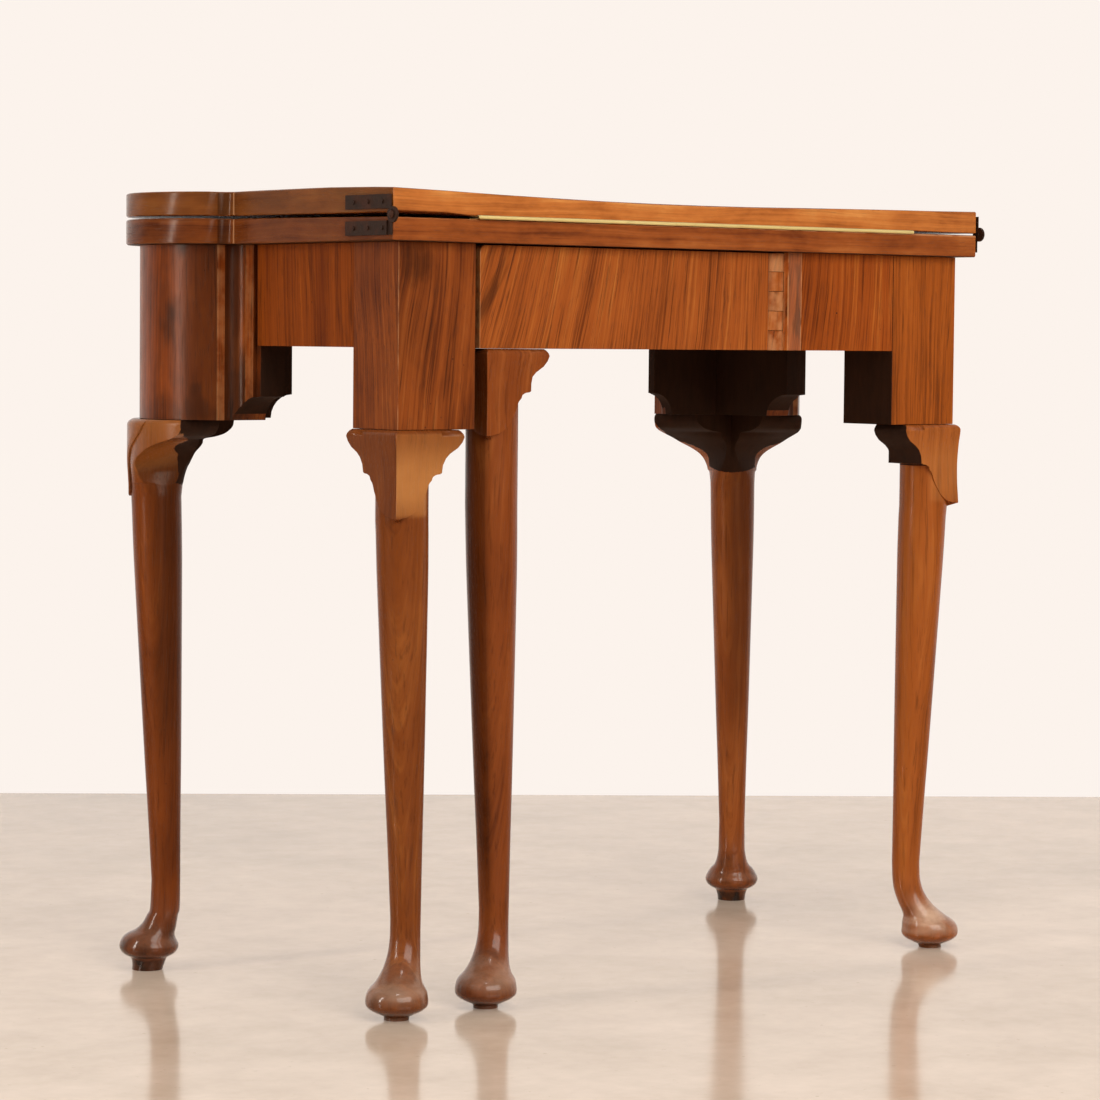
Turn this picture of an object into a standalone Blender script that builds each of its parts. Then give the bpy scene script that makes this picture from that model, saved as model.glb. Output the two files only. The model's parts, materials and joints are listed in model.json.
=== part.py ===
"""Walnut games table with a folding top, turreted front corners and a swinging fly leg.

Metres, +Z up, floor at Z = 0. +Y is the back of the table, where the leaf folds and the gate
swings out. The closed table stands with the middle of its outer box over the origin.
Left and right are as seen from the back: left is +X.
"""
import math

import bmesh
import bpy
from mathutils import Matrix

# Heights
TOP_HEIGHT = 0.735
LEAF_THICKNESS = 0.0206
LEAF_GAP = 0.0037
RAIL_HEIGHT = 0.0932
POST_DROP = 0.0722
TURRET_DROP = 0.0695

# Clearances
SEAT_GAP = 0.0003
RUN_GAP = 0.0004
FLY_TOP_GAP = 0.0011
INNER_RAIL_RAISE = 0.0030
CUT_OVERRUN = 0.0040
JOIN_INSET = 0.00005

# Plan of the top
LEAF_DEPTH_TO_LOBE = 0.3270
LOBE_CENTRE_X = 0.3198
LOBE_RADIUS = 0.0896
LOBE_SIDE_OFFSET = 0.0384
LOBE_COVE = 0.0103
LOBE_END_ANGLE = math.radians(48.5)
LEAF_EDGE_ROUND = 0.0012
TOP_SAG = 0.0045
UNDERSIDE_SAG = 0.0015

# Plan of the frame
BACK_OVERHANG = 0.0130
TURRET_RADIUS = 0.0768
TURRET_SIDE_OFFSET = 0.0226
TURRET_COVE = 0.0120
TURRET_END_ANGLE = math.radians(54.5)
STRIP_END = 0.0876
ARM_END_LEFT = 0.0945
ARM_END_RIGHT = 0.1020
ARM_THICKNESS = 0.0305
STRIP_GROOVE_DEPTH = 0.0040
FRONT_ARM_THICKNESS = 0.0140
FRONT_ARM_END_RIGHT = 0.0935
ARM_RISE = 0.0225
SIDE_SCOOP = 0.0310
FRONT_SCOOP = 0.0245
POST_WIDTH = 0.0854
POST_DEPTH = 0.0670
RAIL_THICKNESS = 0.0220
INNER_RAIL_THICKNESS = 0.0200
EDGE_ROUND = 0.0008

# Fly rail and its wooden knuckle joint
FLY_THICKNESS = 0.0260
FLY_END_GAP = 0.0045
FLY_CORNER_ROUND = 0.0060
KNUCKLE_AXIS_X = -0.1065
KNUCKLE_FINGERS = 5
KNUCKLE_PIN_RADIUS = 0.0030
KNUCKLE_PLAY = 0.0001
FINGER_TENON = 0.0060
GROOVE_ANGLE = math.radians(43.5)

# Legs
LEG_INSET = 0.0200
FLY_LEG_OFFSET = 0.1000
FRONT_LEG_OFFSET = (0.0457, 0.0411)
SHAFT_TOP_HEIGHT = 0.4550
SHAFT_TOP_RADIUS = 0.02375
ANKLE_RADIUS = 0.0138
ANKLE_HEIGHT = 0.0870
PAD_RADIUS = 0.0282
BACK_DRIFT = (0.0112, 0.0055)
BACK_KICK = (0.0201, 0.0150)
FRONT_DRIFT = (0.0048, 0.0113)
FRONT_KICK = (0.0112, 0.0120)

# Square knee with its pendent tongue, and the ears beside it
KNEE_INNER = 0.0247
KNEE_PROUD = 0.0058
KNEE_DROP = 0.0390
TONGUE_DROP = 0.0775
TONGUE_TIP_ANGLE = math.radians(8.0)
EAR_REACH = 0.0747
FLY_EAR_REACH = 0.0705
EAR_DEPTH = 0.0400
EAR_TIP = 0.0013
EAR_PROUD_SHARE = 0.8

# Front knee, rounded to follow the turret
FRONT_KNEE_RADIUS = 0.0800
FRONT_KNEE_SHIFT = 0.0060
FRONT_KNEE_HALF_WIDTH = 0.0785
FRONT_KNEE_DROP = 0.0740
FRONT_KNEE_ROLL = 0.0025
FRONT_EAR_REACH = 0.0725
FRONT_EAR_PLANE = 0.0235

# Hinges of the leaf
PIVOT_BEHIND = 0.0015
IRON_LENGTH = 0.0680
IRON_WIDTH = 0.0125
IRON_THICKNESS = 0.0026
IRON_EYE_RADIUS = 0.0070
IRON_EDGE_MARGIN = 0.0034
IRON_LAP = 0.0040
RIVET_RADIUS = 0.0016
RIVET_PLAY = 0.0001
RIVET_HEAD_RADIUS = 0.0042
RIVET_HEAD_HEIGHT = 0.0017
PIANO_LEFT_END = 0.2654
PIANO_RIGHT_END = 0.2691
PIANO_KNUCKLES = 7
PIANO_BARREL_RADIUS = 0.0017
PIANO_FLANGE_WIDTH = 0.0120
PIANO_FLANGE_THICKNESS = 0.0010
PIANO_LAP = 0.0010

# Baize panels let into both playing faces
BAIZE_HALF_WIDTH = 0.2900
BAIZE_BACK_MARGIN = 0.0450
BAIZE_FRONT_MARGIN = 0.0500
BAIZE_CORNER = 0.0200
BAIZE_THICKNESS = 0.0012

# Glue blocks in the corners between the rails and the top
GLUE_BLOCK_LENGTH = 0.0600
GLUE_BLOCK_SIDE = 0.0180
GLUE_BLOCK_PLACE = 0.1700

# Facets
ARC_STEP = math.radians(10.0)
RING_POINTS = 26
MOVING_POINTS = 3
FRONT_RING_STEP = math.radians(15.0)
ROD_SEGMENTS = 20
RIVET_SEGMENTS = 14
SAG_STATIONS = 12
SCOOP_FACETS = 6
MERGE_DISTANCE = 0.00001
SHARP_ANGLE = math.radians(35.0)

# Shares of sizes that the outlines follow. Shaft: height above the ankle, swell of the radius.
SHAFT_SHARES = ((1.0, 1.0), (0.86, 0.945), (0.73, 0.82), (0.59, 0.67),
                (0.45, 0.52), (0.31, 0.36), (0.17, 0.18))
# Feet: share of the ankle's height, of the pad's radius and of the kick outwards. The front pads
# stand on a short neck, and the back ones are worn down almost to the floor.
FRONT_FOOT_SHARES = (
    (1.0, 0.487, 0.0), (0.69, 0.505, 0.05), (0.61, 0.525, 0.19), (0.517, 0.582, 0.37),
    (0.448, 0.674, 0.60), (0.407, 0.787, 0.85), (0.356, 0.887, 1.0), (0.276, 1.0, 1.0),
    (0.214, 0.954, 1.0), (0.17, 0.82, 1.0), (0.136, 0.624, 1.0), (0.069, 0.546, 1.03),
    (0.0, 0.518, 1.1))
BACK_FOOT_SHARES = (
    (1.0, 0.487, 0.0), (0.91, 0.486, 0.01), (0.80, 0.49, 0.03), (0.69, 0.51, 0.10),
    (0.60, 0.54, 0.22), (0.50, 0.60, 0.42), (0.42, 0.68, 0.64), (0.365, 0.77, 0.80),
    (0.325, 0.87, 0.90), (0.285, 0.945, 0.96), (0.235, 0.985, 1.0), (0.180, 1.0, 1.0),
    (0.140, 0.97, 1.0), (0.105, 0.86, 1.0), (0.077, 0.70, 1.0), (0.052, 0.53, 1.0),
    (0.037, 0.42, 1.0), (0.0, 0.40, 1.03))
# Face of the square knee: share of the whole drop, share of how far it stands proud.
KNEE_FACE_SHARES = ((0.0, 0.27), (0.013, 0.60), (0.039, 0.89), (0.084, 1.0), (0.26, 0.80),
                    (0.50, 0.66), (0.75, 0.70), (0.90, 0.80), (1.0, 0.86))
# Tongue: share of the drop below the ears, share of the knee's width.
TONGUE_SHARES = ((0.0, 0.91), (0.05, 0.83), (0.13, 0.80), (0.22, 0.735), (0.39, 0.68),
                 (0.56, 0.607), (0.73, 0.52), (0.857, 0.415), (0.943, 0.287), (0.987, 0.138),
                 (1.0, 0.06))
# Ear: share of the knee's drop, share of the ear's reach from the corner.
EAR_SHARES = ((0.0, 0.952), (0.034, 0.967), (0.10, 0.99), (0.16, 1.0), (0.28, 0.972),
              (0.41, 0.909), (0.54, 0.795), (0.64, 0.739), (0.795, 0.696), (0.985, 0.683))
# Front knee: shares of drop, half width, ear reach and ear plane, roundness, share of the roll.
FRONT_KNEE_SHARES = (
    (0.0, 0.965, 1.0, 1.0, 0.0, 1.0), (0.015, 0.985, 1.0, 1.0, 0.0, 0.45),
    (0.05, 1.0, 0.995, 1.0, 0.0, 0.0), (0.10, 1.0, 0.98, 1.0, 0.0, 0.0),
    (0.15, 0.995, 0.93, 1.0, 0.0, 0.0), (0.20, 0.985, 0.84, 1.0, 0.0, 0.0),
    (0.235, 0.96, 0.70, 1.0, 0.0, 0.0), (0.26, 0.935, 0.53, 1.0, 0.0, 0.0),
    (0.31, 0.86, 0.51, 1.0, 0.0, 0.0), (0.36, 0.78, 0.48, 1.0, 0.02, 0.0),
    (0.43, 0.68, 0.41, 1.0, 0.05, 0.0), (0.50, 0.56, 0.38, 0.98, 0.10, 0.0),
    (0.58, 0.45, 0.36, 0.95, 0.20, 0.0), (0.66, 0.385, 0.34, 0.92, 0.35, 0.0),
    (0.76, 0.34, 0.33, 0.90, 0.60, 0.0), (0.88, 0.315, 0.33, 0.90, 0.85, 0.0),
    (1.0, 0.303, 0.33, 0.90, 1.0, 0.0))

# Finishes: colour, roughness and metallic share
WALNUT = ((0.21, 0.085, 0.035), 0.32, 0.0)
WALNUT_BACK = ((0.33, 0.14, 0.055), 0.36, 0.0)
WALNUT_EDGE = ((0.36, 0.16, 0.06), 0.34, 0.0)
INSIDE_WOOD = ((0.13, 0.07, 0.04), 0.75, 0.0)
BAIZE = ((0.05, 0.16, 0.07), 0.95, 0.0)
BRASS = ((0.62, 0.45, 0.18), 0.38, 1.0)
IRON = ((0.09, 0.075, 0.065), 0.55, 0.9)

# Levels and lines worked out from the driving sizes
UPPER_LEAF_BOTTOM = TOP_HEIGHT - LEAF_THICKNESS
LOWER_LEAF_TOP = UPPER_LEAF_BOTTOM - LEAF_GAP
LOWER_LEAF_BOTTOM = LOWER_LEAF_TOP - LEAF_THICKNESS
PIVOT_Z = LOWER_LEAF_TOP + LEAF_GAP / 2
FRAME_TOP = LOWER_LEAF_BOTTOM - SEAT_GAP
RAIL_BOTTOM = FRAME_TOP - RAIL_HEIGHT
POST_BOTTOM = RAIL_BOTTOM - POST_DROP
TURRET_BOTTOM = RAIL_BOTTOM - TURRET_DROP
ARM_BOTTOM = TURRET_BOTTOM + ARM_RISE
LEAF_HALF_WIDTH = LOBE_CENTRE_X + LOBE_SIDE_OFFSET
EYE_REACH = PIVOT_BEHIND + IRON_EYE_RADIUS
TOP_BACK = (LEAF_DEPTH_TO_LOBE + LOBE_RADIUS - EYE_REACH) / 2
PIVOT_Y = TOP_BACK + PIVOT_BEHIND
LOBE_Y = TOP_BACK - LEAF_DEPTH_TO_LOBE
FRAME_BACK = TOP_BACK - BACK_OVERHANG
FRAME_SIDE = LOBE_CENTRE_X + TURRET_SIDE_OFFSET
FRAME_FRONT = LOBE_Y - TURRET_SIDE_OFFSET
POST_INNER = FRAME_SIDE - POST_WIDTH
POST_FRONT = FRAME_BACK - POST_DEPTH
KNUCKLE_AXIS_Y = FRAME_BACK - FLY_THICKNESS / 2
KNUCKLE_RADIUS = FLY_THICKNESS / 2 - KNUCKLE_PLAY
FLY_END_X = POST_INNER - FLY_END_GAP
FLY_TOP = FRAME_TOP - FLY_TOP_GAP


def clear_scene():
    """Empty the file, so that the script gives the same result each run."""
    for thing in list(bpy.data.objects):
        bpy.data.objects.remove(thing, do_unlink=True)


def new_collection(name):
    """Make a collection under the scene's own."""
    collection = bpy.data.collections.new(name)
    bpy.context.scene.collection.children.link(collection)
    return collection


def give_finish(thing, look):
    """Give a piece a Principled material of its own."""
    colour, roughness, metallic = look
    material = bpy.data.materials.new(thing.name + "_finish")
    material.use_nodes = True
    shader = material.node_tree.nodes["Principled BSDF"]
    shader.inputs["Base Color"].default_value = (*colour, 1.0)
    shader.inputs["Roughness"].default_value = roughness
    shader.inputs["Metallic"].default_value = metallic
    thing.data.materials.clear()
    thing.data.materials.append(material)


def object_from_bmesh(name, edit, collection):
    """Write a closed bmesh to a new object with outward faces and smooth rounds."""
    bmesh.ops.recalc_face_normals(edit, faces=edit.faces)
    mesh = bpy.data.meshes.new(name)
    edit.to_mesh(mesh)
    edit.free()
    mesh.shade_smooth()
    mesh.set_sharp_from_angle(angle=SHARP_ANGLE)
    thing = bpy.data.objects.new(name, mesh)
    collection.objects.link(thing)
    return thing


def arc(centre, radius, start, end, step=ARC_STEP):
    """Points of a circular arc, ends included, in steps of about the given angle."""
    count = max(2, round(abs(end - start) / step))
    points = []
    for index in range(count + 1):
        angle = start + (end - start) * index / count
        points.append((centre[0] + radius * math.cos(angle), centre[1] + radius * math.sin(angle)))
    return points


PLANES = {
    "XY": Matrix(((1, 0, 0, 0), (0, 1, 0, 0), (0, 0, 1, 0), (0, 0, 0, 1))),
    "XZ": Matrix(((1, 0, 0, 0), (0, 0, -1, 0), (0, 1, 0, 0), (0, 0, 0, 1))),
    "YZ": Matrix(((0, 0, 1, 0), (1, 0, 0, 0), (0, 1, 0, 0), (0, 0, 0, 1))),
}


def board(name, outline, plane, low, high, collection):
    """Saw a flat outline out of a board that fills the space from low to high across its plane."""
    curve = bpy.data.curves.new(name + "_outline", "CURVE")
    curve.dimensions = "2D"
    curve.fill_mode = "BOTH"
    curve.extrude = (high - low) / 2
    spline = curve.splines.new("POLY")
    spline.points.add(len(outline) - 1)
    for point, (across, along) in zip(spline.points, outline):
        point.co = (across, along, 0.0, 1.0)
    spline.use_cyclic_u = True
    drawn = bpy.data.objects.new(name + "_outline", curve)
    middle = (low + high) / 2
    if plane == "XZ":
        middle = -middle
    collection.objects.link(drawn)
    bpy.context.view_layer.update()
    depsgraph = bpy.context.evaluated_depsgraph_get()
    filled = bpy.data.meshes.new_from_object(drawn.evaluated_get(depsgraph))
    edit = bmesh.new()
    edit.from_mesh(filled)
    place = PLANES[plane] @ Matrix.Translation((0.0, 0.0, middle))
    bmesh.ops.transform(edit, matrix=place, verts=edit.verts)
    bmesh.ops.remove_doubles(edit, verts=edit.verts, dist=MERGE_DISTANCE)
    bmesh.ops.dissolve_limit(edit, angle_limit=math.radians(0.5), verts=edit.verts,
                             edges=edit.edges)
    bpy.data.objects.remove(drawn, do_unlink=True)
    bpy.data.curves.remove(curve)
    bpy.data.meshes.remove(filled)
    return object_from_bmesh(name, edit, collection)


def block(name, low, high, collection):
    """Plane a rectangular block to size from a unit cube."""
    edit = bmesh.new()
    bmesh.ops.create_cube(edit, size=1.0)
    size = [top - bottom for bottom, top in zip(low, high)]
    middle = [(top + bottom) / 2 for bottom, top in zip(low, high)]
    bmesh.ops.scale(edit, vec=size, verts=edit.verts)
    bmesh.ops.translate(edit, vec=middle, verts=edit.verts)
    return object_from_bmesh(name, edit, collection)


def rod(name, radius, low, high, collection):
    """Turn a straight upright rod between two points, one above the other."""
    edit = bmesh.new()
    bmesh.ops.create_cone(edit, cap_ends=True, segments=ROD_SEGMENTS, radius1=radius,
                          radius2=radius, depth=high[2] - low[2])
    bmesh.ops.translate(edit, vec=(low[0], low[1], (low[2] + high[2]) / 2), verts=edit.verts)
    return object_from_bmesh(name, edit, collection)


def loft(name, rings, collection):
    """Skin a stack of rings that have the same number of points, and close both ends."""
    edit = bmesh.new()
    stack = [[edit.verts.new(point) for point in ring] for ring in rings]
    for upper, lower in zip(stack, stack[1:]):
        for index in range(len(upper)):
            after = (index + 1) % len(upper)
            edit.faces.new((upper[index], upper[after], lower[after], lower[index]))
    edit.faces.new(stack[0])
    edit.faces.new(reversed(stack[-1]))
    return object_from_bmesh(name, edit, collection)


def cut(thing, cutter, operation="DIFFERENCE"):
    """Cut or join a piece with a shape kept in the cutters' collection."""
    cutter.hide_render = True
    cutter.display_type = "WIRE"
    modifier = thing.modifiers.new(cutter.name, "BOOLEAN")
    modifier.operation = operation
    modifier.solver = "EXACT"
    modifier.object = cutter


def ease_edges(thing, width):
    """Break the sharp edges of a sawn piece."""
    modifier = thing.modifiers.new("eased_edges", "BEVEL")
    modifier.width = width
    modifier.segments = 1
    modifier.limit_method = "ANGLE"
    modifier.angle_limit = math.radians(50.0)


def work_in(thing):
    """Work a piece's cuts into its own mesh, ready for shaping by hand."""
    bpy.context.view_layer.update()
    depsgraph = bpy.context.evaluated_depsgraph_get()
    worked = bpy.data.meshes.new_from_object(thing.evaluated_get(depsgraph))
    thing.modifiers.clear()
    thing.data = worked


def share_at(table, place):
    """Read a table of (place, share) pairs between its entries."""
    for (start, first), (end, last) in zip(table, table[1:]):
        if place <= end:
            return first + (last - first) * max(0.0, place - start) / (end - start)
    return table[-1][1]


def lobed_corner(radius, side_offset, cove, end_angle):
    """Turreted corner about its own centre, from the side line round to the front line.

    A lobe of more than half a circle ends in a square fillet on each side, and a cove leads from
    the fillet to the straight edge. The corner is the same either side of its diagonal.
    """
    fillet = radius * math.sin(end_angle)
    hub = (side_offset + cove, fillet + cove)
    quarter = arc(hub, cove, math.pi, 1.5 * math.pi, 2 * ARC_STEP)
    lobe = arc((0.0, 0.0), radius, end_angle, -math.pi / 2 - end_angle)
    mirrored = [(-y, -x) for x, y in reversed(quarter)]
    return quarter + lobe + mirrored


def at_corner(points, side):
    """Move points from a front corner's own centre into the table, on the left or the right."""
    return [(side * (LOBE_CENTRE_X + x), LOBE_Y + y) for x, y in points]


def leaf_outline():
    """Outline of a leaf, with its straight back edge and two lobed front corners."""
    corner = lobed_corner(LOBE_RADIUS, LOBE_SIDE_OFFSET, LOBE_COVE, LOBE_END_ANGLE)
    left = at_corner(corner, 1)
    right = at_corner(corner, -1)
    return ([(LEAF_HALF_WIDTH, TOP_BACK)] + left + list(reversed(right))
            + [(-LEAF_HALF_WIDTH, TOP_BACK)])


def panel_outline(growth):
    """Outline of the baize panel, grown by a clearance all round."""
    right = BAIZE_HALF_WIDTH + growth - BAIZE_CORNER
    back = TOP_BACK - BAIZE_BACK_MARGIN + growth - BAIZE_CORNER
    front = FRAME_FRONT + BAIZE_FRONT_MARGIN - growth + BAIZE_CORNER
    quarter = math.pi / 2
    points = arc((right, back), BAIZE_CORNER, quarter, 0.0, 3 * ARC_STEP)
    points += arc((right, front), BAIZE_CORNER, 0.0, -quarter, 3 * ARC_STEP)
    points += arc((-right, front), BAIZE_CORNER, -quarter, -2 * quarter, 3 * ARC_STEP)
    points += arc((-right, back), BAIZE_CORNER, -2 * quarter, -3 * quarter, 3 * ARC_STEP)
    return points


def sag(thing):
    """Let the folding leaf hang a little between its ends, more on its top than underneath."""
    edit = bmesh.new()
    edit.from_mesh(thing.data)
    for index in range(1, SAG_STATIONS):
        place = LEAF_HALF_WIDTH * (2 * index / SAG_STATIONS - 1)
        everything = list(edit.verts) + list(edit.edges) + list(edit.faces)
        bmesh.ops.bisect_plane(edit, geom=everything, plane_co=(place, 0.0, 0.0),
                               plane_no=(1.0, 0.0, 0.0), dist=MERGE_DISTANCE)
    for vertex in edit.verts:
        bend = 1 - min(1.0, abs(vertex.co.x) / LEAF_HALF_WIDTH) ** 2
        height = (vertex.co.z - UPPER_LEAF_BOTTOM) / LEAF_THICKNESS
        vertex.co.z -= bend * (UNDERSIDE_SAG + (TOP_SAG - UNDERSIDE_SAG) * height)
    bmesh.ops.triangulate(edit, faces=[face for face in edit.faces if len(face.verts) > 4])
    edit.to_mesh(thing.data)
    edit.free()
    thing.data.shade_smooth()
    thing.data.set_sharp_from_angle(angle=SHARP_ANGLE)


def turret(name, side, arm_end, front_arm_end, pieces, cutters):
    """Build a lobed front corner with its two arms, scooped away underneath."""
    inner = TURRET_SIDE_OFFSET - ARM_THICKNESS
    grooved = TURRET_SIDE_OFFSET - STRIP_GROOVE_DEPTH
    outline = [(inner, arm_end), (grooved, arm_end), (grooved, STRIP_END),
               (TURRET_SIDE_OFFSET, STRIP_END)]
    outline += lobed_corner(TURRET_RADIUS, TURRET_SIDE_OFFSET, TURRET_COVE, TURRET_END_ANGLE)
    outline += [(-STRIP_END, -TURRET_SIDE_OFFSET)]
    if front_arm_end > STRIP_END:
        outline += [(-STRIP_END, -grooved), (-front_arm_end, -grooved)]
    outline += [(-front_arm_end, FRONT_ARM_THICKNESS - TURRET_SIDE_OFFSET),
                (inner, FRONT_ARM_THICKNESS - TURRET_SIDE_OFFSET)]
    thing = board(name, at_corner(outline, side), "XY", TURRET_BOTTOM, FRAME_TOP, pieces)
    turns = [math.pi / 2 * (1 + index / SCOOP_FACETS) for index in range(SCOOP_FACETS + 1)]
    low = TURRET_BOTTOM - CUT_OVERRUN
    end = LOBE_Y + arm_end
    scoop = [(end + SIDE_SCOOP * math.cos(angle), TURRET_BOTTOM + ARM_RISE * math.sin(angle))
             for angle in turns]
    outline = [(end + CUT_OVERRUN, low), (end + CUT_OVERRUN, ARM_BOTTOM)] + scoop
    outline += [(end - SIDE_SCOOP, low)]
    near, far = sorted((side * (FRAME_SIDE - ARM_THICKNESS - CUT_OVERRUN),
                        side * (FRAME_SIDE + TURRET_RADIUS)))
    cut(thing, board(name + "_side_scoop", outline, "YZ", near, far, cutters))
    end = LOBE_CENTRE_X - front_arm_end
    scoop = [(end - FRONT_SCOOP * math.cos(angle), TURRET_BOTTOM + ARM_RISE * math.sin(angle))
             for angle in turns]
    outline = [(end - CUT_OVERRUN, low), (end - CUT_OVERRUN, ARM_BOTTOM)] + scoop
    outline += [(end + FRONT_SCOOP, low)]
    outline = [(side * x, z) for x, z in outline]
    cut(thing, board(name + "_front_scoop", outline, "XZ", FRAME_FRONT - TURRET_RADIUS,
                     FRAME_FRONT + FRONT_ARM_THICKNESS + CUT_OVERRUN, cutters))
    return thing


def finger_outline(side):
    """Plan of one knuckle finger: a round barrel with a neck that is let into its rail.

    side is 1 for a finger whose rail lies towards +X and -1 for the other.
    """
    barrel = arc((0.0, 0.0), KNUCKLE_RADIUS, GROOVE_ANGLE, 2 * math.pi - GROOVE_ANGLE)
    neck = KNUCKLE_RADIUS * math.sin(GROOVE_ANGLE)
    root = FLY_THICKNESS / 2 + FINGER_TENON
    points = barrel + [(root, -neck), (root, neck)]
    return [(KNUCKLE_AXIS_X + side * x, KNUCKLE_AXIS_Y + y) for x, y in points]


def shoulder_outline(side):
    """Plan of what is cut from a rail's end: a hollow round the pin, grooved at both faces.

    The grooves lean at 45 degrees, so the two rails' shoulders meet when the gate stands square.
    """
    clear = KNUCKLE_RADIUS + RUN_GAP
    hollow = arc((0.0, 0.0), clear, -GROOVE_ANGLE, GROOVE_ANGLE)
    over = FLY_THICKNESS / 2 + CUT_OVERRUN
    lip = hollow[-1][0] + over - hollow[-1][1]
    points = [(lip, -over)] + hollow + [(lip, over), (-over, over), (-over, -over)]
    return [(KNUCKLE_AXIS_X + side * x, KNUCKLE_AXIS_Y + y) for x, y in points]


def add_fingers(rail, side, numbers, cutters):
    """Hollow a rail's end, join every other knuckle finger to it, and bore them for the pin."""
    cut(rail, board(rail.name + "_shoulder", shoulder_outline(side), "XY",
                    RAIL_BOTTOM - CUT_OVERRUN, FRAME_TOP + CUT_OVERRUN, cutters))
    pitch = RAIL_HEIGHT / KNUCKLE_FINGERS
    for number in numbers:
        low = RAIL_BOTTOM + pitch * number + RUN_GAP / 2
        high = min(RAIL_BOTTOM + pitch * (number + 1) - RUN_GAP / 2, FLY_TOP - JOIN_INSET)
        if number == 0:
            low = RAIL_BOTTOM + JOIN_INSET
        finger = board(f"{rail.name}_finger_{number + 1}", finger_outline(side), "XY", low, high,
                       cutters)
        cut(rail, finger, "UNION")
    bore = rod(rail.name + "_bore", KNUCKLE_PIN_RADIUS + KNUCKLE_PLAY,
               (KNUCKLE_AXIS_X, KNUCKLE_AXIS_Y, RAIL_BOTTOM - CUT_OVERRUN),
               (KNUCKLE_AXIS_X, KNUCKLE_AXIS_Y, FRAME_TOP + CUT_OVERRUN), cutters)
    cut(rail, bore)


def knee_proud(drop):
    """How far the face of a square knee stands out at a depth below its top."""
    return KNEE_PROUD * share_at(KNEE_FACE_SHARES, drop / TONGUE_DROP)


def square_ring(face):
    """Section of a square knee about the shaft, with its outer corner first."""
    back = -KNEE_INNER
    half = (RING_POINTS - 6) // 2
    points = [(face, face), (face, (face + back) / 2), (face, back + RUN_GAP)]
    for index in range(half):
        points.append((face + (back - face) * index / half, back))
    for index in range(half + 1):
        points.append((back, back + (face - back) * index / half))
    points += [(back + RUN_GAP, face), ((face + back) / 2, face)]
    return points


def round_turns(spread):
    """Angles from the diagonal round the shaft, where only a few next to the corner move."""
    quarter = math.pi / 2
    fixed = RING_POINTS - 6 - 2 * MOVING_POINTS
    near = [spread + (quarter - spread) * index / MOVING_POINTS for index in range(MOVING_POINTS)]
    far = [quarter + math.pi * index / fixed for index in range(fixed + 1)]
    return near + far + [2 * math.pi - turn for turn in reversed(near)]


def tongue_ring(face, width, radius):
    """Section of the shaft with the corner of the knee standing out of it."""
    edge = face - width
    angle = math.atan2(edge, face)
    spread = math.pi / 4 - angle
    points = [(face, face), (face, (face + edge) / 2), (face, edge)]
    for turn in round_turns(spread):
        turn = math.pi / 4 - turn
        points.append((radius * math.cos(turn), radius * math.sin(turn)))
    points += [(edge, face), ((face + edge) / 2, face)]
    return points


def shaft_ring(radius):
    """Round section of the shaft, with its points where the tongue's tip leaves them."""
    points = []
    for share in (0.0, 0.4, 0.8):
        turn = math.pi / 4 - TONGUE_TIP_ANGLE * share
        points.append((radius * math.cos(turn), radius * math.sin(turn)))
    for turn in round_turns(TONGUE_TIP_ANGLE):
        turn = math.pi / 4 - turn
        points.append((radius * math.cos(turn), radius * math.sin(turn)))
    for share in (0.8, 0.4):
        turn = math.pi / 4 + TONGUE_TIP_ANGLE * share
        points.append((radius * math.cos(turn), radius * math.sin(turn)))
    return points


def placed(ring, centre, side, height):
    """Stand a section at its place in the table, mirrored for the right-hand side."""
    return [(side * (centre[0] + x), centre[1] + y, height) for x, y in ring]


def shaft_and_foot(centre, drift, kick, side, section, turning):
    """Rings of the tapering shaft, the ankle and the pad foot, from the top down.

    section turns a radius into a round ring, drift is how far the shaft leans in by the ankle,
    kick is how far the pad stands out again, both along X and Y, and turning is the foot's table.
    """
    rings = []
    length = SHAFT_TOP_HEIGHT - ANKLE_HEIGHT
    for height_share, swell in SHAFT_SHARES:
        radius = ANKLE_RADIUS + (SHAFT_TOP_RADIUS - ANKLE_RADIUS) * swell
        lean = 1 - height_share
        spot = (centre[0] + drift[0] * lean, centre[1] + drift[1] * lean)
        rings.append(placed(section(radius), spot, side, ANKLE_HEIGHT + length * height_share))
    for height_share, pad_share, kick_share in turning:
        spot = (centre[0] + drift[0] + kick[0] * kick_share,
                centre[1] + drift[1] + kick[1] * kick_share)
        rings.append(placed(section(PAD_RADIUS * pad_share), spot, side,
                            ANKLE_HEIGHT * height_share))
    return rings


def square_leg(name, centre, side, top, collection):
    """Build a leg whose knee is square, with a tongue that hangs down its outer corner."""
    rings = []
    for share, _ in KNEE_FACE_SHARES:
        drop = TONGUE_DROP * share
        if drop < KNEE_DROP:
            face = LEG_INSET + knee_proud(drop)
            rings.append(placed(square_ring(face), centre, side, top - drop))
    face = LEG_INSET + knee_proud(KNEE_DROP)
    rings.append(placed(square_ring(face), centre, side, top - KNEE_DROP))
    for share, width in TONGUE_SHARES:
        drop = KNEE_DROP + RUN_GAP + (TONGUE_DROP - KNEE_DROP) * share
        face = LEG_INSET + knee_proud(drop)
        ring = tongue_ring(face, (face + KNEE_INNER) * width, SHAFT_TOP_RADIUS)
        rings.append(placed(ring, centre, side, top - drop))
    below = KNEE_DROP + (TONGUE_DROP - KNEE_DROP) + 2 * RUN_GAP + KNEE_PROUD / 2
    rings.append(placed(shaft_ring(SHAFT_TOP_RADIUS), centre, side, top - below))
    drift = (-BACK_DRIFT[0], -BACK_DRIFT[1])
    lower = shaft_and_foot(centre, drift, BACK_KICK, side, shaft_ring, BACK_FOOT_SHARES)
    rings += [ring for ring in lower if ring[0][2] < top - below - RUN_GAP]
    return loft(name, rings, collection)


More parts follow.
